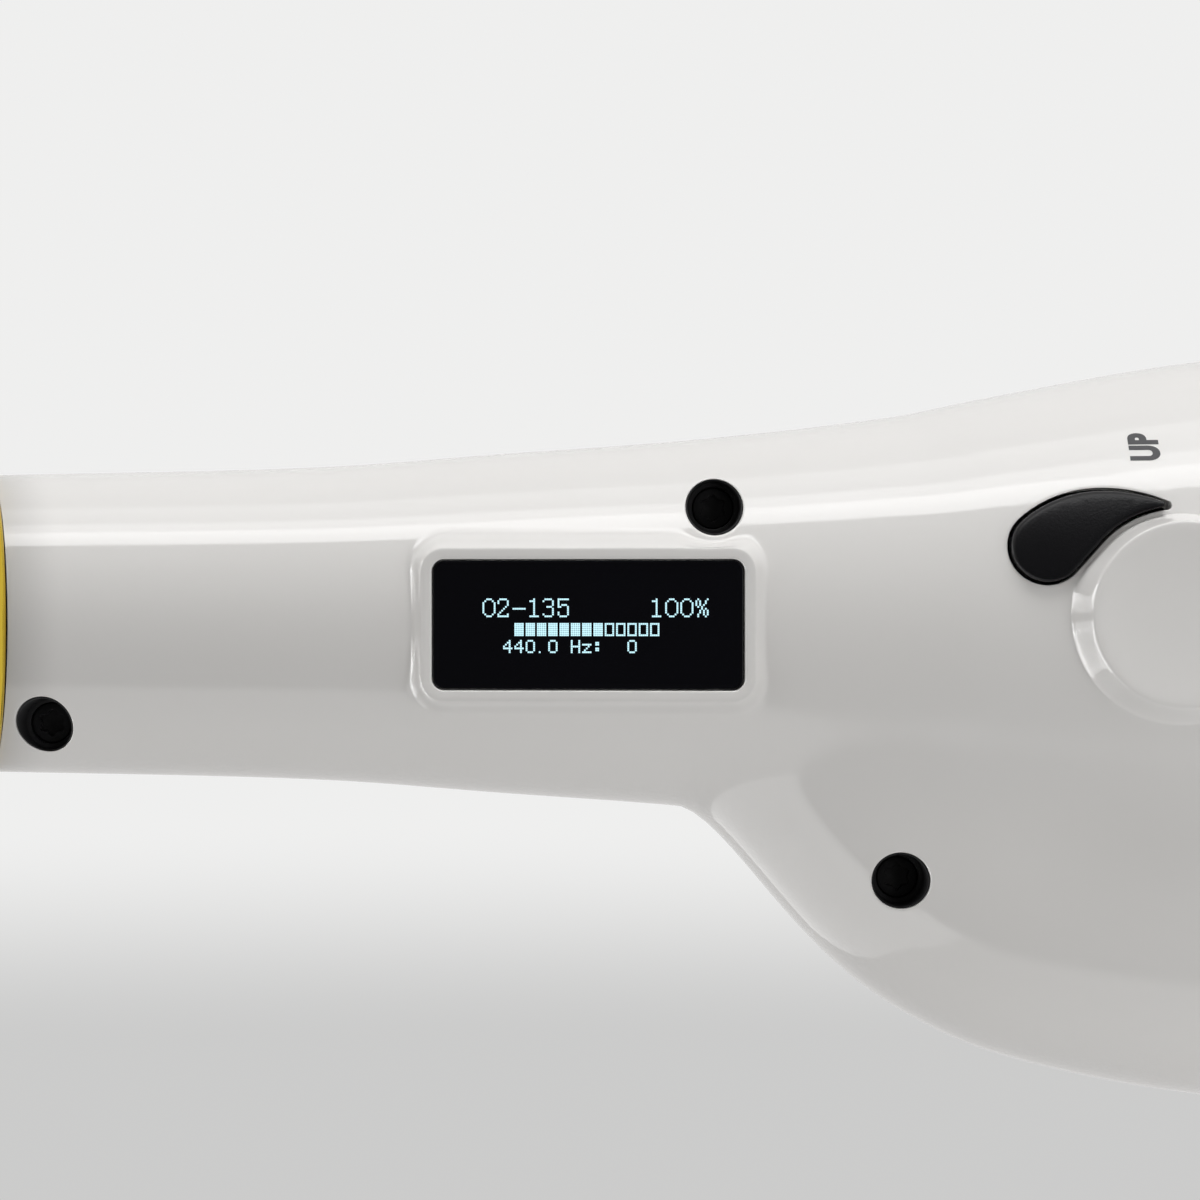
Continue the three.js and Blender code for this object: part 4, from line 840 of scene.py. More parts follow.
ROUND_KEY = round_outline(8.0, 72)
SMALL_KEY = round_outline(4.0, 48)
PALM_KEY = drop_outline(18.0, 4.5, 3.0, 12)
SIDE_KEY = drop_outline(17.0, 3.5, 3.5)
TABLE_KEY = tile_outline(12.0, 14.0, 2.5)
ROLLER_KEY = tile_outline(16.0, 10.0, 2.5)
BUTTON = round_outline(3.0, 40)
LEFT_HAND, RIGHT_HAND = 0.2809 * BODY_LENGTH, 0.5574 * BODY_LENGTH
PALM, TABLE, SIDE, ROLLER = (share * BODY_LENGTH for share in (0.2851, 0.4745, 0.5362, 0.7489))
KEYS = {
    "front_f_key": (LEFT_HAND - 0.8 * 27, 180, SMALL_KEY),
    "b_key": (LEFT_HAND, 180, ROUND_KEY),
    "bis_key": (LEFT_HAND + 13.5, 158, SMALL_KEY),
    "a_key": (LEFT_HAND + 27, 180, ROUND_KEY),
    "g_key": (LEFT_HAND + 54, 180, ROUND_KEY),
    "f_key": (RIGHT_HAND, 180, ROUND_KEY),
    "e_key": (RIGHT_HAND + 25, 180, ROUND_KEY),
    "d_key": (RIGHT_HAND + 50, 180, ROUND_KEY),
    "high_f_sharp_key": (RIGHT_HAND + 12.5, 146, SMALL_KEY),
    "palm_f_key": (PALM - 23, -112, PALM_KEY),
    "palm_d_sharp_key": (PALM, -112, PALM_KEY),
    "palm_d_key": (PALM + 23, -112, PALM_KEY),
    "side_e_key": (SIDE - 21, 110, SIDE_KEY),
    "side_c_key": (SIDE, 110, SIDE_KEY),
    "side_b_flat_key": (SIDE + 21, 110, SIDE_KEY),
    "g_sharp_key": (TABLE - 8.5, -112, TABLE_KEY),
    "low_c_sharp_key": (TABLE + 8.5, -112, TABLE_KEY),
    "low_b_key": (TABLE - 8.5, -153, TABLE_KEY),
    "low_b_flat_key": (TABLE + 8.5, -153, TABLE_KEY),
    "low_e_flat_key": (ROLLER - 7, 148, ROLLER_KEY),
    "low_c_key": (ROLLER + 7, 148, ROLLER_KEY),
}
BUTTONS = {
    "menu_plus_button": (0.5574 * BODY_LENGTH, 36, BUTTON),
    "menu_minus_button": (0.5574 * BODY_LENGTH + 12, 36, BUTTON),
    "power_button": (0.8468 * BODY_LENGTH, 0, BUTTON),
}
SOCKETS = {
    "usb_c_socket": (0.9489 * BODY_LENGTH, 34, tile_outline(8.34 + 2.8, 2.56 + 2.8, 1.4)),
    "headphone_socket": (0.9489 * BODY_LENGTH, -34, round_outline(3.2, 40)),
}


def clear_of(points, spot, radius):
    """Points moved out of a cylinder that stands on a frame."""
    here = (points - spot[:, 3]) @ spot[:, :3]
    away = np.hypot(here[:, 0], here[:, 1])
    here[:, :2] *= np.maximum(1, radius / np.maximum(away, 1e-3))[:, None]
    return spot[:, 3] + here @ spot[:, :3].T


def casing(name, rear, features, rows, columns):
    """Thick shell of one casing: skin between the features, the features, and the inner skin."""
    sheet = CasingSheet(rear)
    surface = Surface()
    p, q = np.meshgrid(rows, np.linspace(0, sheet.STRETCH, columns + 1), indexing="ij")
    flat = np.stack([p.ravel(), q.ravel()], -1)
    border = (p.ravel() == rows[0]) | (p.ravel() == rows[-1])
    border |= (q.ravel() == 0) | (q.ravel() == sheet.STRETCH)
    loops = []
    keep = np.ones(len(flat), bool)
    for spot, rings in features:
        outer = in_frame(spot, *rings[0])
        loop = sheet.flat(*station_angle(outer))
        loops.append((loop, outer, spot, rings))
        near = (np.abs(flat - loop.mean(0)) < np.ptp(loop, 0) / 2 + 3).all(1) & ~border
        index = np.nonzero(near)[0]
        if len(index):
            gap = np.median(np.hypot(*(loop - np.roll(loop, 1, 0)).T))
            drop = inside(loop, flat[index]) | (distance_to(loop, flat[index]) < max(0.35, 0.8 * gap))
            keep[index[drop]] = False
    flat = flat[keep]
    station, angle = sheet.spots(flat[:, 0], flat[:, 1])
    outside = [skin(station, angle)]
    inner = [skin(station, angle, -WALL)]
    plan = [flat]
    edges = []
    start = len(flat)
    starts = []
    for loop, outer, spot, rings in loops:
        count = len(loop)
        plan.append(loop)
        outside.append(outer)
        place, turn = station_angle(outer)
        inner.append(skin(place, turn, -WALL))
        edges += [(start + k, start + (k + 1) % count) for k in range(count)]
        starts.append(start)
        start += count
    for _, outer, spot, rings in loops:
        if np.ptp(rings[0][0], 0).max() < 8 and spot[1, 2] < -0.999:
            inner = [clear_of(points, spot, np.hypot(*rings[0][0].T).min()) for points in inner]
    plan = np.vstack(plan)
    triangles, size = laid_out(plan, edges)
    triangles = triangles[size > 1e-9]
    middle = plan[triangles].mean(1)
    gone = np.zeros(len(triangles), bool)
    for loop, *_ in loops:
        index = np.nonzero((np.abs(middle - loop.mean(0)) < np.ptp(loop, 0)).all(1))[0]
        gone[index[inside(loop, middle[index])]] = True
    triangles = triangles[~gone]
    first = surface.add(np.vstack(outside))
    second = surface.add(np.vstack(inner))
    surface.faces += [tuple(first[t]) for t in triangles]
    surface.faces += [tuple(second[t[::-1]]) for t in triangles]
    for begin, (loop, outer, spot, rings) in zip(starts, loops):
        count = len(loop)
        last = first[begin:begin + count]
        last = surface.stack(spot, rings[1:], last)
        end = second[begin:begin + count]
        if rings[-1][0].ptp(0).max() < 3.5:
            middle_point = surface.add([surface.points[-1].mean(0)])[0]
            surface.fan(last, middle_point)
            floor = surface.add([surface.points[0][begin:begin + count].mean(0) - WALL * spot[:, 2]])[0]
            surface.fan(end[::-1], floor)
        else:
            surface.strip(last, end)
    edge_loop = boundary(flat, rows, sheet.STRETCH)
    surface.strip(second[edge_loop], first[edge_loop])
    return new_piece(name, to_frame(surface.all_points()), surface.faces, casing_white, angle=50)


def boundary(flat, rows, stretch):
    """Border points of the flat sheet, in order round it, anticlockwise."""
    x, y = flat[:, 0], flat[:, 1]
    low = np.nonzero(y == 0)[0]
    high = np.nonzero(y == stretch)[0]
    top = np.nonzero(x == rows[0])[0]
    bottom = np.nonzero(x == rows[-1])[0]
    return np.concatenate([
        low[np.argsort(x[low])],
        bottom[np.argsort(y[bottom])][1:],
        high[np.argsort(-x[high])][1:],
        top[np.argsort(-y[top])][1:-1],
    ])


def spaced(*spans):
    """Rows with their own spacing in each span."""
    rows = [np.array([0.0])]
    for start, end, step in spans:
        rows.append(np.linspace(start, end, max(1, round((end - start) / step)) + 1)[1:])
    return np.concatenate(rows)


# The casing's white carries painted shade just below the neck ring.
casing_white = painted_shade_below_ring(white("casing_white"))
rear_features = [
    bezel_feature(),
    thumb_feature(),
    *[octave_opening(octave_outline(side, gap)) for side, _, gap in OCTAVE_KEYS.values()],
    *[screw_well(*spot, wall) for spot, wall in zip(SCREW_SPOTS, WELL_WALLS)],
    *[key_opening(*key) for key in BUTTONS.values()],
    *[key_opening(*key) for key in SOCKETS.values()],
]
rear_casing = casing(
    "rear_shell", True, rear_features,
    spaced((0, 20, 1.6), (20, 140, 1.25), (140, 290, 2.4), (290, 470, 3.2)), 60,
)
belongs(rear_casing, "body", "rear_casing")

front_casing = casing(
    "front_shell", False, [key_opening(*key) for key in KEYS.values()],
    spaced((0, 20, 1.8), (20, 100, 2.2), (100, 290, 2.0), (290, 470, 3.0)), 60,
)
belongs(front_casing, "body", "front_casing")


# Octave keys


def octave_cap(name, outline):
    """Cap that follows the skin, with rounded edges and a side that goes down into the casing."""
    spot = through_frame(THUMB, THUMB_SIDE)
    rise, round_edge = 1.0, 0.42
    surface = Surface()
    side = outline()
    rings = [(side, skin_height(spot, side) - 0.6), (side, skin_height(spot, side) + rise - round_edge)]
    thin = (0.15 + 0.85 * smoothstep(0.8, 4.0, abs(side[:, 1])))[:, None]
    for turn in (18, 36, 54, 72, 90):
        inset = outline(-round_edge * (1 - math.cos(math.radians(turn))))
        points = side + (inset - side) * thin
        lift = rise - round_edge * (1 - math.sin(math.radians(turn)))
        rings.append((points, skin_height(spot, points) + lift))
    last = surface.stack(spot, rings)
    loop = rings[-1][0]
    low, high = loop.min(0), loop.max(0)
    x, y = np.meshgrid(np.arange(low[0], high[0], 0.5), np.arange(low[1], high[1], 0.5))
    grid = np.stack([x.ravel(), y.ravel()], -1)
    grid = grid[inside(loop, grid)]
    grid = grid[distance_to(loop, grid) > 0.3]
    fill = surface.add(in_frame(spot, grid, skin_height(spot, grid) + rise))
    index = np.concatenate([last, fill])
    top = covering(np.vstack([loop, grid]), len(loop))
    surface.faces += [tuple(index[triangle]) for triangle in top]
    surface.faces += [tuple(triangle[::-1]) for triangle in covering(side, len(side))]
    return new_piece(name, to_frame(surface.all_points()), surface.faces, satin_black, angle=60)


for node, (side, gap, _) in OCTAVE_KEYS.items():
    belongs(octave_cap(node.replace("_key", "_cap"), octave_outline(side, gap)), node, node)


# Display


def display_window():
    """Glass of the display with rounded edges."""
    spot = skin_frame(SCREEN, 0)
    outline = tile_outline(LENS_WIDTH, LENS_LENGTH, 1.0, 9)
    surface = Surface()
    rings = [(outline(grow), height) for grow, height in (
        (0, -0.45), (0, 0.66), (-0.03, 0.72), (-0.1, 0.75), (-0.16, 0.75), (-0.4, 0.75))]
    last = surface.stack(spot, rings)
    surface.faces = [tuple(np.arange(len(last))[::-1]), *surface.faces, tuple(last)]
    return new_piece("display_window", to_frame(surface.all_points()), surface.faces, display_glass)


belongs(display_window(), "body", "display_lens")

DOT = 0.175
BIG = {letter: dots.split() for letter, dots in (
    ("0", "..###... .#...#.. #.....#. #.....#. #.....#. #.....#. #.....#. "
          "#.....#. .#...#.. ..###..."),
    ("1", "...#.... .###.... ...#.... ...#.... ...#.... ...#.... ...#.... "
          "...#.... ...#.... .#####.."),
    ("2", ".####... #....#.. #....#.. .....#.. ....#... ...#.... ..#..... "
          ".#...... #....#.. ######.."),
    ("3", ".####... #....#.. .....#.. .....#.. ..###... .....#.. .....#.. "
          ".....#.. #....#.. .####..."),
    ("5", "######.. #....... #....... #.###... ##...#.. .....#.. .....#.. "
          "#....#.. #....#.. .####..."),
    ("-", "........ ........ ........ ........ ........ #######. ........ "
          "........ ........ ........"),
    ("%", ".#....#. #.#..#.. #.#..#.. #.#.#... .#.#.... ...#.#.. ..#.#.#. "
          "..#.#.#. .#..#.#. .#...#.."),
    (" ", "........ ........ ........ ........ ........ ........ ........ "
          "........ ........ ........"),
)}
SMALL = {letter: dots.split() for letter, dots in (
    ("4", "...#. ..##. .#.#. #..#. ##### ...#. ...#."),
    ("0", ".###. #...# #...# #...# #...# #...# .###."),
    (".", "..... ..... ..... ..... ..... ..... .#..."),
    ("H", "#...# #...# #...# ##### #...# #...# #...#"),
    ("z", "..... ..... ##### ...#. ..#.. .#... #####"),
    (":", "..... .##.. .##.. ..... .##.. .##.. ....."),
    ("|", "##### ##### ##### ##### ##### ##### #####"),
    ("_", "##### #...# #...# #...# #...# #...# #####"),
    (" ", "..... ..... ..... ..... ..... ..... ....."),
)}
SCREEN_TEXT = [
    ("02-135", BIG, 8, 8, 2),
    ("100%", BIG, 8, 97, 2),
    ("||||||||_____", SMALL, 6, 25, 15),
    ("440.0 Hz:  0", SMALL, 6, 19, 24),
]


def screen_dots():
    """Lit dots of the display. Columns run down the body and rows to the player's left."""
    spot = skin_frame(SCREEN, 0)
    surface = Surface()
    half = 0.44 * DOT
    square = np.array([[-half, -half], [half, -half], [half, half], [-half, half]])
    for text, font, width, column, row in SCREEN_TEXT:
        for place, letter in enumerate(text):
            for down, line in enumerate(font[letter]):
                for across, mark in enumerate(line):
                    if mark != "#":
                        continue
                    along = (column + place * width + across - 63.5) * DOT
                    side = (row + down - 15.5) * DOT
                    ring = surface.add(in_frame(spot, square + [-side, -along], LENS_TOP + 0.012))
                    surface.faces.append(tuple(ring))
    return new_piece("screen_dots", to_frame(surface.all_points()), surface.faces, lit_dot, smooth=False)


belongs(screen_dots(), "body")

# Casing screws


def lobed(radius, depth, lobes, sides):
    turn = np.linspace(0, 2 * math.pi, sides, endpoint=False)
    reach = radius * (1 + depth * np.cos(lobes * turn))
    return np.stack([reach * np.cos(turn), reach * np.sin(turn)], -1)


def screw_in_bush(name, station, side):
    """Star-drive screw at the bottom of its well, held by a black bush that lines the well."""
    spot = through_frame(station, side)
    top = rear_height(station, side)
    seat = top - WELL_DEPTH
    circle = lambda radius: arc((0, 0), radius, 0, 360, 72)[:-1]
    rings = [(circle(2.66), seat + 0.05)]
    edge = circle(2.66)
    rim = skin_height(spot, edge) - 0.3
    rings += [(edge, rim - 0.1), (circle(2.63), rim), (circle(2.56), rim), (circle(2.52), rim - 0.08)]
    ledge = seat + 1.3
    rings += [(circle(2.46), ledge + 0.08), (circle(2.40), ledge), (circle(2.06), ledge - 0.04),
              (circle(2.0), ledge - 0.1), (circle(1.98), seat + 0.5)]
    head = seat + 0.85
    rings += [(circle(1.9), head - 0.1), (circle(1.84), head), (circle(1.6), head + 0.06)]
    rings += [(lobed(1.17, 0.14, 6, 72), head + 0.08), (lobed(1.11, 0.14, 6, 72), head + 0.03),
              (lobed(1.09, 0.14, 6, 72), seat + 0.3), (circle(0.5), seat + 0.25),
              (circle(0.1), seat + 0.2)]
    surface = Surface()
    last = surface.stack(spot, rings)
    surface.faces = [tuple(np.arange(len(last))[::-1]), *surface.faces, tuple(last)]
    piece = new_piece(name, to_frame(surface.all_points()), surface.faces, bush_black, angle=40)
    piece.data.materials.append(screw_steel)
    for face in piece.data.polygons:
        ring_of = min(face.vertices) // 72
        face.material_index = 1 if 9 <= ring_of else 0
    return piece


for number, (station, side) in enumerate(SCREW_SPOTS, 1):
    screw = screw_in_bush(f"screw_{number}", station, side)
    belongs(screw, "body", f"casing_screw_{number}")


# Labels beside the octave keys


def label(name, text, centre, height):
    """Printed word that lies on the skin, read from the head end of the body."""
    bpy.ops.object.text_add(location=(0, 0, 0))
    word = bpy.context.object
    word.name = name
    word.data.body = text
    word.data.align_x = "CENTER"
    word.data.align_y = "CENTER"
    word.data.size = 1.0
    word.data.offset = 0.055
    word.data.space_character = 1.06
    word.data.resolution_u = 6
    bpy.ops.object.convert(target="MESH")
    mesh = word.data
    points = np.array([v.co[:2] for v in mesh.vertices])
    low, high = points.min(0), points.max(0)
    scale = height / (high[1] - low[1])
    bpy.ops.object.mode_set(mode="EDIT")
    bpy.ops.mesh.select_all(action="SELECT")
    bpy.ops.mesh.remove_doubles(threshold=0.0005)
    bpy.ops.mesh.quads_convert_to_tris()
    bpy.ops.mesh.subdivide(number_cuts=2)
    bpy.ops.object.mode_set(mode="OBJECT")
    points = (np.array([v.co[:2] for v in mesh.vertices]) - (low + high) / 2) * scale
    points[:, 0] *= 0.6
    turned = np.stack([centre[0] + points[:, 0], centre[1] + points[:, 1]], -1)
    spot = through_frame(THUMB, THUMB_SIDE)
    placed = to_frame(in_frame(spot, turned, skin_height(spot, turned) + 0.015))
    mesh.vertices.foreach_set("co", placed.ravel())
    mesh.update()
    mesh.materials.append(label_ink)
    word.select_set(False)
    belongs(word, "body")


label("label_up", "UP", (15.5, 2.6), 2.75)
label("label_down", "DOWN", (15.5, -5.0), 2.75)

# Pieces shaped with mesh operators


def matrix_of(spot):
    return Matrix([[*row] for row in spot]).to_4x4()


def metres(spot):
    """Matrix that takes a piece from a frame's millimetres to its place in metres."""
    return Matrix.Scale(MM, 4) @ Matrix.Translation((0, AXIS_Y, 0)) @ matrix_of(spot)


def start_from_circle(corners, filled=False):
    """Circle primitive whose corners are moved to the given places, left in edit mode."""
    bpy.ops.object.select_all(action="DESELECT")
    fill = "NGON" if filled else "NOTHING"
    bpy.ops.mesh.primitive_circle_add(vertices=len(corners), radius=1, fill_type=fill)
    piece = bpy.context.object
    for corner, place in zip(piece.data.vertices, corners):
        corner.co = (*place, 0) if len(place) == 2 else place
    bpy.ops.object.mode_set(mode="EDIT")
    bpy.ops.mesh.select_all(action="SELECT")
    return piece


def closed_up(piece):
    """Merges doubles, turns the faces outwards and leaves edit mode."""
    bpy.ops.mesh.select_all(action="SELECT")
    bpy.ops.mesh.remove_doubles(threshold=0.0005)
    bpy.ops.mesh.delete_loose(use_verts=True, use_edges=True, use_faces=False)
    bpy.ops.mesh.select_all(action="SELECT")
    bpy.ops.mesh.normals_make_consistent(inside=False)
    bpy.ops.object.mode_set(mode="OBJECT")
    return piece


def spun(section, steps=96):
    """Body of revolution from a section of radius and height pairs."""
    piece = start_from_circle([(radius, 0, height) for radius, height in section])
    bpy.ops.mesh.spin(steps=steps, angle=2 * math.pi, center=(0, 0, 0), axis=(0, 0, 1))
    return closed_up(piece)


def extruded(corners, places, filled=True):
    """Outline extruded from place to place. Each place is a matrix for the outline."""
    piece = start_from_circle(corners, filled)
    here = Matrix.Identity(4)
    for number, there in enumerate(places):
        if number:
            bpy.ops.mesh.extrude_region()
        shape = bmesh.from_edit_mesh(piece.data)
        ring = [corner for corner in shape.verts if corner.select]
        bmesh.ops.transform(shape, matrix=there @ here.inverted(), verts=ring)
        here = there
    return closed_up(piece)


def drawn(path, rows, sides=64):
    """Tube drawn along a path through rows of distance and radius, and closed on itself."""
    circle = arc((0, 0), 1, 0, 360, sides)[:-1]
    places = [matrix_of(path(distance)) @ Matrix.Scale(radius, 4)
              for distance, radius in [*rows, rows[0]]]
    return extruded(circle, places, filled=False)


def risen(outline, bottom, steps):
    """Block raised from an outline: each step insets the top face and lifts it."""
    corners = [(x, y, bottom) for x, y in outline]
    piece = start_from_circle(corners, filled=True)
    bpy.ops.mesh.extrude_region_move(TRANSFORM_OT_translate={"value": (0, 0, steps[0][1])})
    for inset, lift in steps[1:]:
        if inset:
            bpy.ops.mesh.inset(thickness=inset, depth=lift)
        else:
            bpy.ops.mesh.extrude_region_move(TRANSFORM_OT_translate={"value": (0, 0, lift)})
    return closed_up(piece)


def with_modifier(piece, kind, **settings):
    """Applies a modifier with its settings."""
    made = piece.modifiers.new(kind.lower(), kind)
    for label, value in settings.items():
        setattr(made, label, value)
    bpy.context.view_layer.objects.active = piece
    bpy.ops.object.modifier_apply(modifier=made.name)
    return piece


def bevelled(piece, width, segments=3, limit=35):
    """Rounded edges."""
    return with_modifier(piece, "BEVEL", width=width, segments=segments, limit_method="ANGLE",
                         angle_limit=math.radians(limit))


def cut(piece, tool):
    """Takes one closed shape out of another."""
    with_modifier(piece, "BOOLEAN", operation="DIFFERENCE", solver="EXACT", object=tool)
    bpy.data.objects.remove(tool)


def joined(*pieces):
    select_only(*pieces)
    bpy.ops.object.join()
    return pieces[0]


def split_by_plane(piece, point, normal):
    """Keeps what lies behind a plane, and closes the cut."""
    select_only(piece)
    bpy.ops.object.mode_set(mode="EDIT")
    bpy.ops.mesh.select_all(action="SELECT")
    bpy.ops.mesh.bisect(plane_co=point, plane_no=normal, use_fill=True, clear_outer=True)
    bpy.ops.object.mode_set(mode="OBJECT")


def finished(piece, name, finish, body, node, spot=None, smooth=35):
    """Names and places a piece, gives it its finish and says what it stands for. Large flat
    faces keep their own direction in the shading."""
    piece.name = piece.data.name = name
    if spot is not None:
        piece.data.transform(metres(spot))
    piece.data.materials.clear()
    piece.data.materials.append(finish)
    make_smooth(piece, smooth)
    with_modifier(piece, "WEIGHTED_NORMAL", keep_sharp=True)
    belongs(piece, body, node)


def round_steps(radius, count=5):
    """Insets and lifts that round an edge from a wall to a flat top."""
    turns = [math.pi / 2 * k / count for k in range(count + 1)]
    pairs = [(radius * (1 - math.cos(turn)), radius * math.sin(turn)) for turn in turns]
    return [(b[0] - a[0], b[1] - a[1]) for a, b in zip(pairs, pairs[1:])]


def dish_steps(width, depth, count=5):
    """Insets that sink a top face in a shallow curve."""
    shares = [(k / count, math.sin(math.pi / 2 * k / count)) for k in range(count + 1)]
    return [((b[0] - a[0]) * width, -(b[1] - a[1]) * depth) for a, b in zip(shares, shares[1:])]


# Keys and buttons


def key_piece(name, station, angle, outline, rise, edge, dish, width):
    spot = skin_frame(station, angle)
    flange = outline(1.2)
    sink = WALL + FIT + 0.1 - skin_height(spot, flange).min()
    steps = [(0, 1.2), (1.2, 0), (0, sink + rise - edge), *round_steps(edge), (0.35, 0)]
    steps += dish_steps(width, dish)
    piece = risen(flange, -sink - 1.2, steps)
    cap = name.replace("_key", "_touch").replace("_button", "_cap")
    finished(piece, cap, satin_black, name, name, spot, 40)


for name, (station, angle, outline) in KEYS.items():
    if outline is ROUND_KEY:
        key_piece(name, station, angle, outline, 3.0, 0.9, 0.75, 6.0)
    elif outline is SMALL_KEY:
        key_piece(name, station, angle, outline, 3.0, 0.8, -0.25, 2.4)
    else:
        key_piece(name, station, angle, outline, 3.0, 0.9, 0.25, 1.1)
for name, (station, angle, outline) in BUTTONS.items():
    key_piece(name, station, angle, outline, 0.8, 0.35, 0.12, 1.8)

# Neck and mouthpiece


def tilted(place, angle):
    """Frame in the plane x = 0 whose heading turns from the body's axis to the player."""
    c, s = math.cos(math.radians(angle)), math.sin(math.radians(angle))
    return frame_of([1, 0, 0], [0, c, s], [0, -s, c], [0, *place])


def bent_path(place, angle, straight, bend, turn):
    heading = lambda at: np.array([-math.sin(math.radians(at)), math.cos(math.radians(at))])
    outward = lambda at: np.array([math.cos(math.radians(at)), math.sin(math.radians(at))])
    length = bend * math.radians(turn)

    def at_distance(distance):
        along = min(max(distance - straight, 0), length)
        at = angle + math.degrees(along / bend)
        centre = np.array(place) + heading(angle) * min(distance, straight)
        centre = centre + (outward(at) - outward(angle)) * bend
        return tilted(centre + heading(at) * max(distance - straight - length, 0), at)

    return at_distance


def taper(start, end, first, last, steps, inset=0.0):
    """Rows of distance and radius that ease from one radius to another."""
    rows = []
    for share in np.linspace(0, 1, steps + 1):
        eased = share * share * (3 - 2 * share)
        rows.append((start + (end - start) * share, first + (last - first) * eased - inset))
    return rows


RING_HEIGHT = 6.0
NECK_END_RADIUS = 11.0
TENON_RADIUS = 7.6
TENON_LENGTH = 26.0
body_frame = tilted((0, 0), 0)
neck_joint = tilted((0, STRAP + NECK_LIFT), NECK_TILT)
neck_start = RING_HEIGHT + FIT
neck_bend = neck_start + 12
neck_path = bent_path((0, STRAP + NECK_LIFT), NECK_TILT, neck_bend, 75, 75 - NECK_TILT)
neck_end = neck_bend + 75 * math.radians(75 - NECK_TILT) + 14
neck_bore = TOP_RADIUS - WALL
spigot = neck_bore - FIT

ring = spun([
    (neck_bore, 0.5), (TOP_RADIUS + 0.5, 0.5), (TOP_RADIUS + 0.95, 0.9), (TOP_RADIUS + 1.2, 1.9),
    (TOP_RADIUS + 1.28, 3), (TOP_RADIUS + 1.2, 4.1), (TOP_RADIUS + 0.9, 5.3),
    (TOP_RADIUS + 0.35, RING_HEIGHT), (neck_bore, RING_HEIGHT),
], 128)
finished(bevelled(ring, 0.22, 3, 30), "neck_collar", gold_plate, "body", "neck_ring",
         neck_joint)

inside_rows = taper(neck_start, neck_end - 2, TOP_RADIUS, NECK_END_RADIUS, 24, 2.0)[::-1]
neck = drawn(neck_path, [
    (0, spigot), (neck_start, spigot), *taper(neck_start, neck_end, TOP_RADIUS, NECK_END_RADIUS, 48),
    (neck_end, TENON_RADIUS), (neck_end + TENON_LENGTH, TENON_RADIUS), (neck_end + TENON_LENGTH, 3.2),
    (neck_end - 2, 3.2), *inside_rows[:-1], (neck_start, spigot - 2), (0, spigot - 2),
], 72)
finished(bevelled(neck, 0.3, 3, 50), "neck_tube", white_gloss, "body", "neck",
         body_frame)

mouth = neck_path(neck_end)
cork_radius = TENON_RADIUS + 1.2
cork = spun([(TENON_RADIUS + FIT, 3), (cork_radius, 3), (cork_radius, 23), (TENON_RADIUS + FIT, 23)])
finished(bevelled(cork, 0.3), "tenon_cork", cork_brown, "body", "neck_cork", mouth)

MOUTH_LENGTH = 92.0
MOUTH_TABLE = 8.6
TABLE_START = MOUTH_LENGTH - 66 - 4
mouth_frame = neck_path(neck_end + 4.5)
# Shares of the length, and of how far width, height and centre have reached the tip
MOUTH_SHARES = np.array([
    [0, 0, 0, 0], [0.45, 0.15, 0.1, 0], [0.62, 0.35, 0.3, 0.25], [0.8, 0.65, 0.62, 0.6],
    [0.96, 0.95, 0.94, 0.95], [1, 1, 1, 1],
])


def softened(row):
    return np.concatenate([row[:3], np.convolve(row, np.ones(5) / 5, "same")[3:-3], row[-3:]])


def mouthpiece_form():
    """Round shank that flattens to the tip, flat under the reed, bored for the cork."""
    along = np.concatenate([[0, 0.004, 0.012, 0.05, 0.056, 0.062], np.linspace(0.08, 0.985, 40),
                            [0.994, 1]])
    wide, high, down = (softened(np.interp(along, MOUTH_SHARES[:, 0], MOUTH_SHARES[:, k]))
                        for k in (1, 2, 3))
    grow = np.zeros(len(along))
    grow[:6] = [-0.1, 0.35, 0.5, 0.5, 0.3, 0]
    grow[-2:] = [-0.1, -0.45]
    places = [
        Matrix.Translation((0, (2 - MOUTH_TABLE) * down[k], share * MOUTH_LENGTH))
        @ Matrix.Diagonal((13 - 5 * wide[k] + grow[k], 13 - 12 * high[k] + grow[k], 1, 1))
        for k, share in enumerate(along)
    ]
    piece = extruded(arc((0, 0), 1, 0, 360, 80)[:-1], places)
    under_reed = risen(tile_outline(60, 60, 0.5)() - [0, 30 + MOUTH_TABLE], TABLE_START, [(0, 90)])
    window = risen(tile_outline(11, 9.2, 1.5)() - [0, 8.0], 32.5, [(0, 48.5)])
    bore = spun([(0, -3), (cork_radius + 0.6, -3), (cork_radius + 0.35, 27), (5.5, 27.1), (5.5, 38),
                 (0, 38)], 64)
    for tool in (under_reed, window, bore):
        cut(piece, tool)
    return piece


finished(mouthpiece_form(), "mouthpiece_form", polished_black, "mouthpiece", "mouthpiece",
         mouth_frame, 40)

REED_SHARES = np.array([[0, 1], [0.45, 1], [0.8, 0.35], [1, 0]])
reed_along = np.concatenate([np.linspace(0, 0.9, 22), [0.93, 0.96, 0.98, 0.992, 1]])
reed_thick = softened(np.interp(reed_along, REED_SHARES[:, 0], REED_SHARES[:, 1]))
reed_wide = 6.5 * np.where(reed_along > 0.88, np.sqrt(1 - 0.55 * ((reed_along - 0.88) / 0.12) ** 2), 1)
reed = extruded(
    [(math.cos(turn), math.sin(turn)) for turn in np.linspace(math.pi, 2 * math.pi, 33)],
    [Matrix.Translation((0, -MOUTH_TABLE - FIT, TABLE_START + 2 + 66 * share))
     @ Matrix.Diagonal((wide, 0.5 + 2.5 * thick, 1, 1))
     for share, thick, wide in zip(reed_along, reed_thick, reed_wide)],
)
finished(bevelled(reed, 0.15, 2), "reed_plate", reed_satin, "mouthpiece", "reed",
         mouth_frame, 40)

# Foot ring, bow and bell

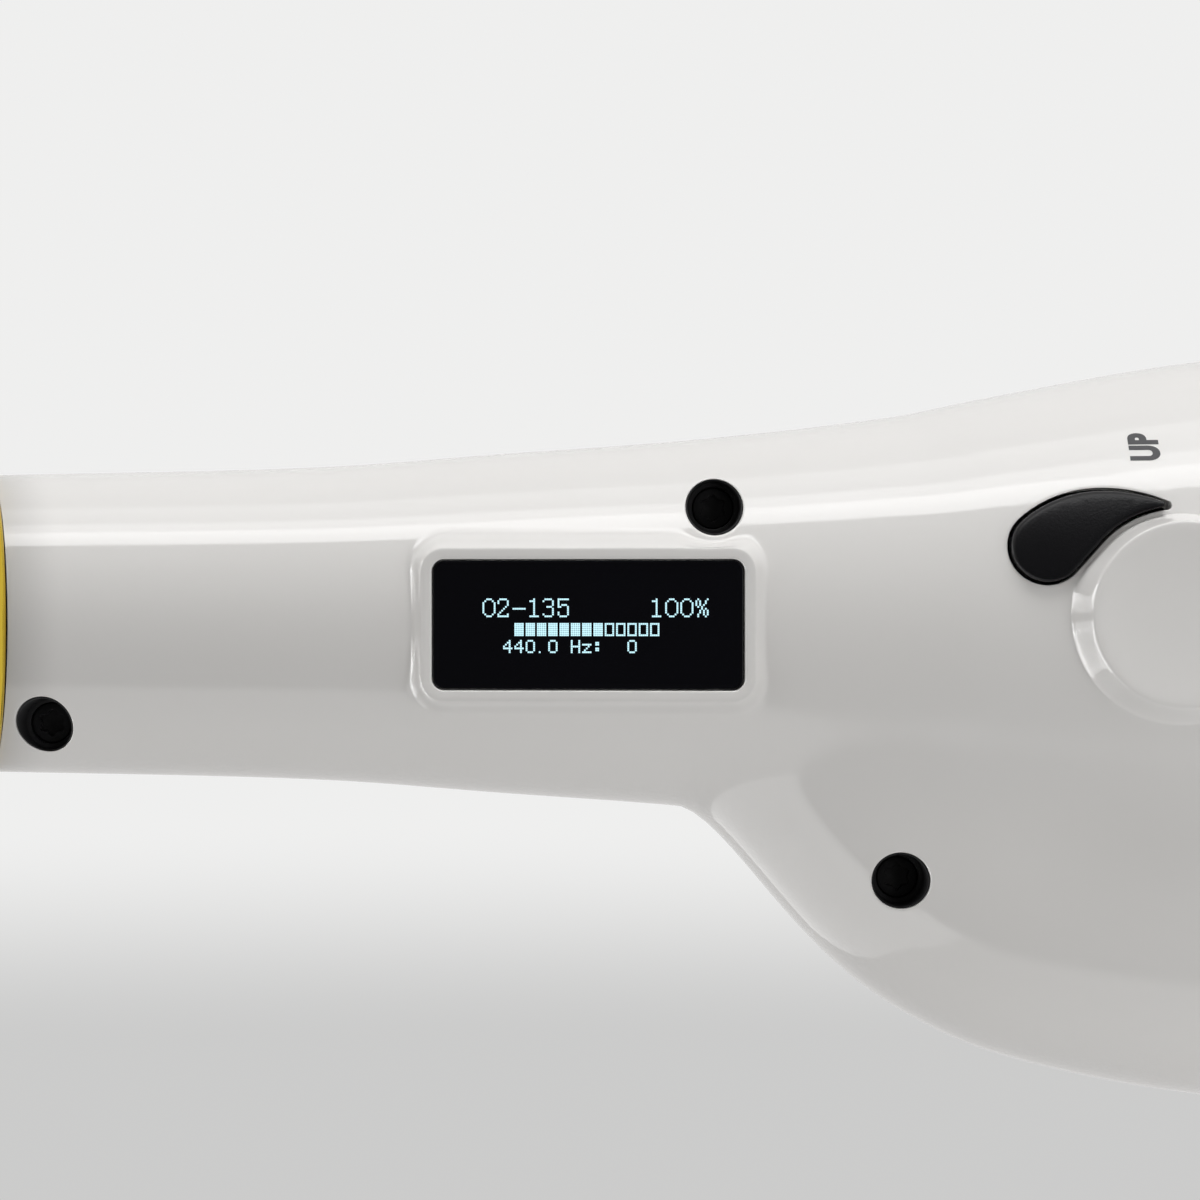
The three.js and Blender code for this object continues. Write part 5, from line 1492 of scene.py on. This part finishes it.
FOOT_RING_HEIGHT = 8.0
BOW_END_RADIUS = 36.0
BELL_LENGTH = 104.0
BELL_WALL = 2.4
foot_end = STRAP - BODY_LENGTH - FIT
foot_frame = tilted((0, foot_end), 0)
foot_inside = FOOT_RADIUS - WALL
foot = spun([
    (foot_inside, -FOOT_RING_HEIGHT), (FOOT_RADIUS + 0.5, -FOOT_RING_HEIGHT),
    (FOOT_RADIUS + 0.95, -7.1), (FOOT_RADIUS + 1.2, -5.6), (FOOT_RADIUS + 1.2, -2.4),
    (FOOT_RADIUS + 0.95, -0.9), (FOOT_RADIUS + 0.5, 0), (foot_inside, 0),
], 144)
finished(bevelled(foot, 0.3, 3, 25), "foot_collar", gold_plate, "body", "foot_ring",
         foot_frame)

bow_path = bent_path((0, foot_end - FOOT_RING_HEIGHT - FIT), 180, FIT, 46, 170)
bow_end = FIT + 46 * math.radians(170)
for name, side in (("bow_left", -1), ("bow_right", 1)):
    bow = drawn(bow_path, [
        *taper(0, bow_end, FOOT_RADIUS, BOW_END_RADIUS, 56),
        *taper(0, bow_end, FOOT_RADIUS, BOW_END_RADIUS, 56, WALL)[::-1],
    ], 96)
    split_by_plane(bow, (side * FIT / 2, 0, 0), (-side, 0, 0))
    finished(bevelled(bow, 0.18, 2, 50), f"{name}_shell", white_gloss, "body", name,
             body_frame, 40)

bell_frame = bow_path(bow_end + FIT)
bell_radius = lambda height: BOW_END_RADIUS + 22 * (height / BELL_LENGTH) ** 2.4
grille_seat = BELL_LENGTH - 38
ledge_foot = grille_seat - BELL_WALL
outside = [(bell_radius(h), h) for h in np.linspace(0, BELL_LENGTH, 41)]
above = [(bell_radius(h) - BELL_WALL, h) for h in np.linspace(BELL_LENGTH, grille_seat, 16)]
below = [(bell_radius(h) - BELL_WALL, h) for h in np.linspace(ledge_foot, 0, 24)]
ledge = above[-1][0] - 2
bell = spun([*outside, *above, (ledge, grille_seat), (ledge, ledge_foot), *below], 144)
finished(bevelled(bell, 0.25, 2, 50), "bell_horn", white_gloss, "body", "bell",
         bell_frame, 40)
bead = [(56.8 + 2.4 * math.cos(turn), BELL_LENGTH + FIT + 2.4 + 2.4 * math.sin(turn))
        for turn in np.linspace(0, 2 * math.pi, 29)[:-1]]
finished(spun(bead, 160), "bell_bead", gold_plate, "body", "bell_rim", bell_frame)

grille_radius = above[-1][0] - FIT
grille = spun([
    (0, grille_seat + FIT), (grille_radius, grille_seat + FIT), (grille_radius, grille_seat + 1.5),
    (grille_radius - 0.4, grille_seat + 1.9), (grille_radius - 3, grille_seat + 1.9),
    (grille_radius - 3.4, grille_seat + 1.6), (0, grille_seat + 1.6),
], 96)
for row in range(4):
    across = (row - 1.5) * 1.7 * grille_radius / 4
    length = 1.7 * math.sqrt(grille_radius**2 - across**2) - 3
    cut(grille, risen(tile_outline(length, 3, 1.45)() + [0, across], grille_seat - 1, [(0, 5)]))
finished(bevelled(grille, 0.2, 2, 50), "bell_grating", satin_black, "body", "bell_grille",
         bell_frame, 40)

# Strap ring, thumb hook, sockets


def rest_on_skin(spot, outline, low, high, round_edge, flat=None):
    """Pad whose underside follows the skin and whose top follows it or is flat."""
    surface = Surface()
    side = outline()
    top = lambda points: skin_height(spot, points) + high if flat is None else flat + 0 * points[:, 0]
    rings = [(side, skin_height(spot, side) + low), (side, top(side) - round_edge)]
    for turn in (22, 45, 67, 90):
        points = outline(-round_edge * (1 - math.cos(math.radians(turn))))
        rings.append((points, top(points) - round_edge * (1 - math.sin(math.radians(turn)))))
    rings += [(outline(-round_edge) * share, top(outline(-round_edge) * share))
              for share in (0.75, 0.5, 0.25)]
    last = surface.stack(spot, rings)
    middle = np.zeros((1, 2))
    under = surface.add(in_frame(spot, middle, skin_height(spot, middle) + low))
    surface.fan(np.arange(len(side))[::-1], under[0])
    centre = surface.add(in_frame(spot, middle, top(middle)))
    surface.fan(last, centre[0])
    return new_piece("pad", surface.all_points(), surface.faces, nickel)


strap_spot = through_frame(STRAP)
strap_foot = rest_on_skin(strap_spot, tile_outline(11, 24, 3.6, 8, 9), 0.3, 2.1, 0.6)
eye = spun([(5.3 + 1.3 * math.copysign(abs(math.cos(t)) ** 0.7, math.cos(t)),
             2.0 * math.copysign(abs(math.sin(t)) ** 0.7, math.sin(t)))
            for t in np.linspace(0, 2 * math.pi, 25)[:-1]], 72)
eye_place = [0, -rear_height(STRAP) - 7.5, 0]
eye.data.transform(matrix_of(frame_of([0, 0, -1], [0, 1, 0], [1, 0, 0], eye_place)))
finished(joined(strap_foot, eye), "strap_eye", nickel, "body", "strap_ring",
         body_frame)

HOOK = 0.6383 * BODY_LENGTH
hook_spot = through_frame(HOOK)
plate_top = rear_height(HOOK) + FIT + 2.4
plate = rest_on_skin(hook_spot, tile_outline(16, 34, 3.2, 8, 15), 0.3, 0, 0.5, plate_top)
for side in (-1, 1):
    rail = risen(tile_outline(2, 30, 0.9)() + [side * 7, 0], plate_top - 1,
                 [(0, 1 + 2.2 - 0.4), *round_steps(0.4, 3)])
    rail.data.transform(matrix_of(hook_spot))
    plate = joined(plate, rail)
finished(plate, "hook_plate", nickel, "body", "thumb_hook_plate", body_frame)

HOOK_THICK = 2.6
HOOK_BEND = 12.0
hook_top = 10 - HOOK_THICK
hook_centre = (HOOK_THICK + HOOK_BEND, hook_top)
hook_side = np.vstack([
    arc(hook_centre, HOOK_BEND + HOOK_THICK, 20, 180, 36), [(0, -10), (HOOK_THICK, -10)],
    arc(hook_centre, HOOK_BEND, 180, 20, 36),
])
hook_width = 16 - 4 - 2 * FIT
hook_frame = frame_of(hook_spot[:, 2], hook_spot[:, 1], -hook_spot[:, 0],
                      hook_spot[:, 3] + hook_spot[:, 2] * (plate_top + FIT))
hook = risen(hook_side[::-1], -hook_width / 2, [(0, hook_width)])
finished(bevelled(hook, 0.75, 4, 40), "thumb_support", nickel, "thumb_hook", "thumb_hook",
         hook_frame, 40)
screw_seat = plate_top + FIT + HOOK_THICK + FIT
knob = risen(lobed(3.85, 0.035, 20, 160), screw_seat,
             [(0, 3.3), *round_steps(0.7, 4), (0.5, 0), (0.6, -0.3)])
stem = spun([(0, plate_top + 0.05), (2, plate_top + 0.05),
             (2, screw_seat + 0.2), (0, screw_seat + 0.2)], 32)
knob = joined(knob, stem)
knob.data.transform(Matrix.Translation((0, -5, 0)))
finished(knob, "clamp_knob", gold_plate, "thumb_hook", "thumb_hook_screw", hook_spot, 40)

usb_station, usb_angle, usb_outline = SOCKETS["usb_c_socket"]
usb = risen(usb_outline(), -9, [(0, 9.5), *round_steps(0.2, 3)])
cut(usb, risen(tile_outline(8.34, 2.56, 1.1)(), -6.8, [(0, 12)]))
tongue = risen(tile_outline(6.67, 0.7, 0.15)(), -9, [(0, 6.7), *round_steps(0.1, 2)])
finished(joined(usb, tongue), "usb_c_shell", nickel, "body", "usb_c_socket",
         skin_frame(usb_station, usb_angle))
jack_station, jack_angle, _ = SOCKETS["headphone_socket"]
jack = spun([(0, -9), (3.2, -9), (3.2, 0.5), (3.0, 0.7), (2.1, 0.7), (1.8, 0.4),
             (1.8, -6.8), (0, -6.8)], 48)
finished(jack, "headphone_shell", nickel, "body", "headphone_socket",
         skin_frame(jack_station, jack_angle))

# Finishes of the CAD nodes that stay

FINISHES = {
    display_glass: ["display_panel"],
    hose_grey: ["air_hose", "breath_sensor", "loudspeaker"],
    board_green: ["main_board", "key_sensor_board"],
    cell_wrap: ["battery_cell"],
}
for finish, names in FINISHES.items():
    for name in names:
        for place in range(len(nodes[name].data.materials)):
            nodes[name].data.materials[place] = finish

bpy.ops.mesh.primitive_circle_add(vertices=96, radius=1.6, fill_type="NGON",
                                  location=(0, 0, cad_box[0].z - 0.0005))
floor = bpy.context.object
floor.name = "floor"
floor_finish = material("floor_paper", (0.80, 0.80, 0.795), (0.82, 0.82, 0.815),
                        roughness=0.8, spread=0.1, bump=0.02)
floor.data.materials.append(floor_finish)
floor_tree = floor_finish.node_tree
floor_place = add_node(floor_tree, "TexCoord").outputs["Object"]
floor_reach = add_node(floor_tree, "VectorMath", {0: floor_place}, operation="LENGTH").outputs["Value"]
floor_tree.links.new(eased(floor_tree, floor_reach, 0.55, 1.55, 1.0, 0.0),
                     floor_tree.nodes["Principled BSDF"].inputs["Alpha"])
for group, piece, state in ((all_but_floor, floor, "EXCLUDE"), (only_floor, floor, "INCLUDE"),
                            (only_rear, rear_casing, "INCLUDE")):
    group.objects.link(piece)
    group.collection_objects[0].light_linking.link_state = state
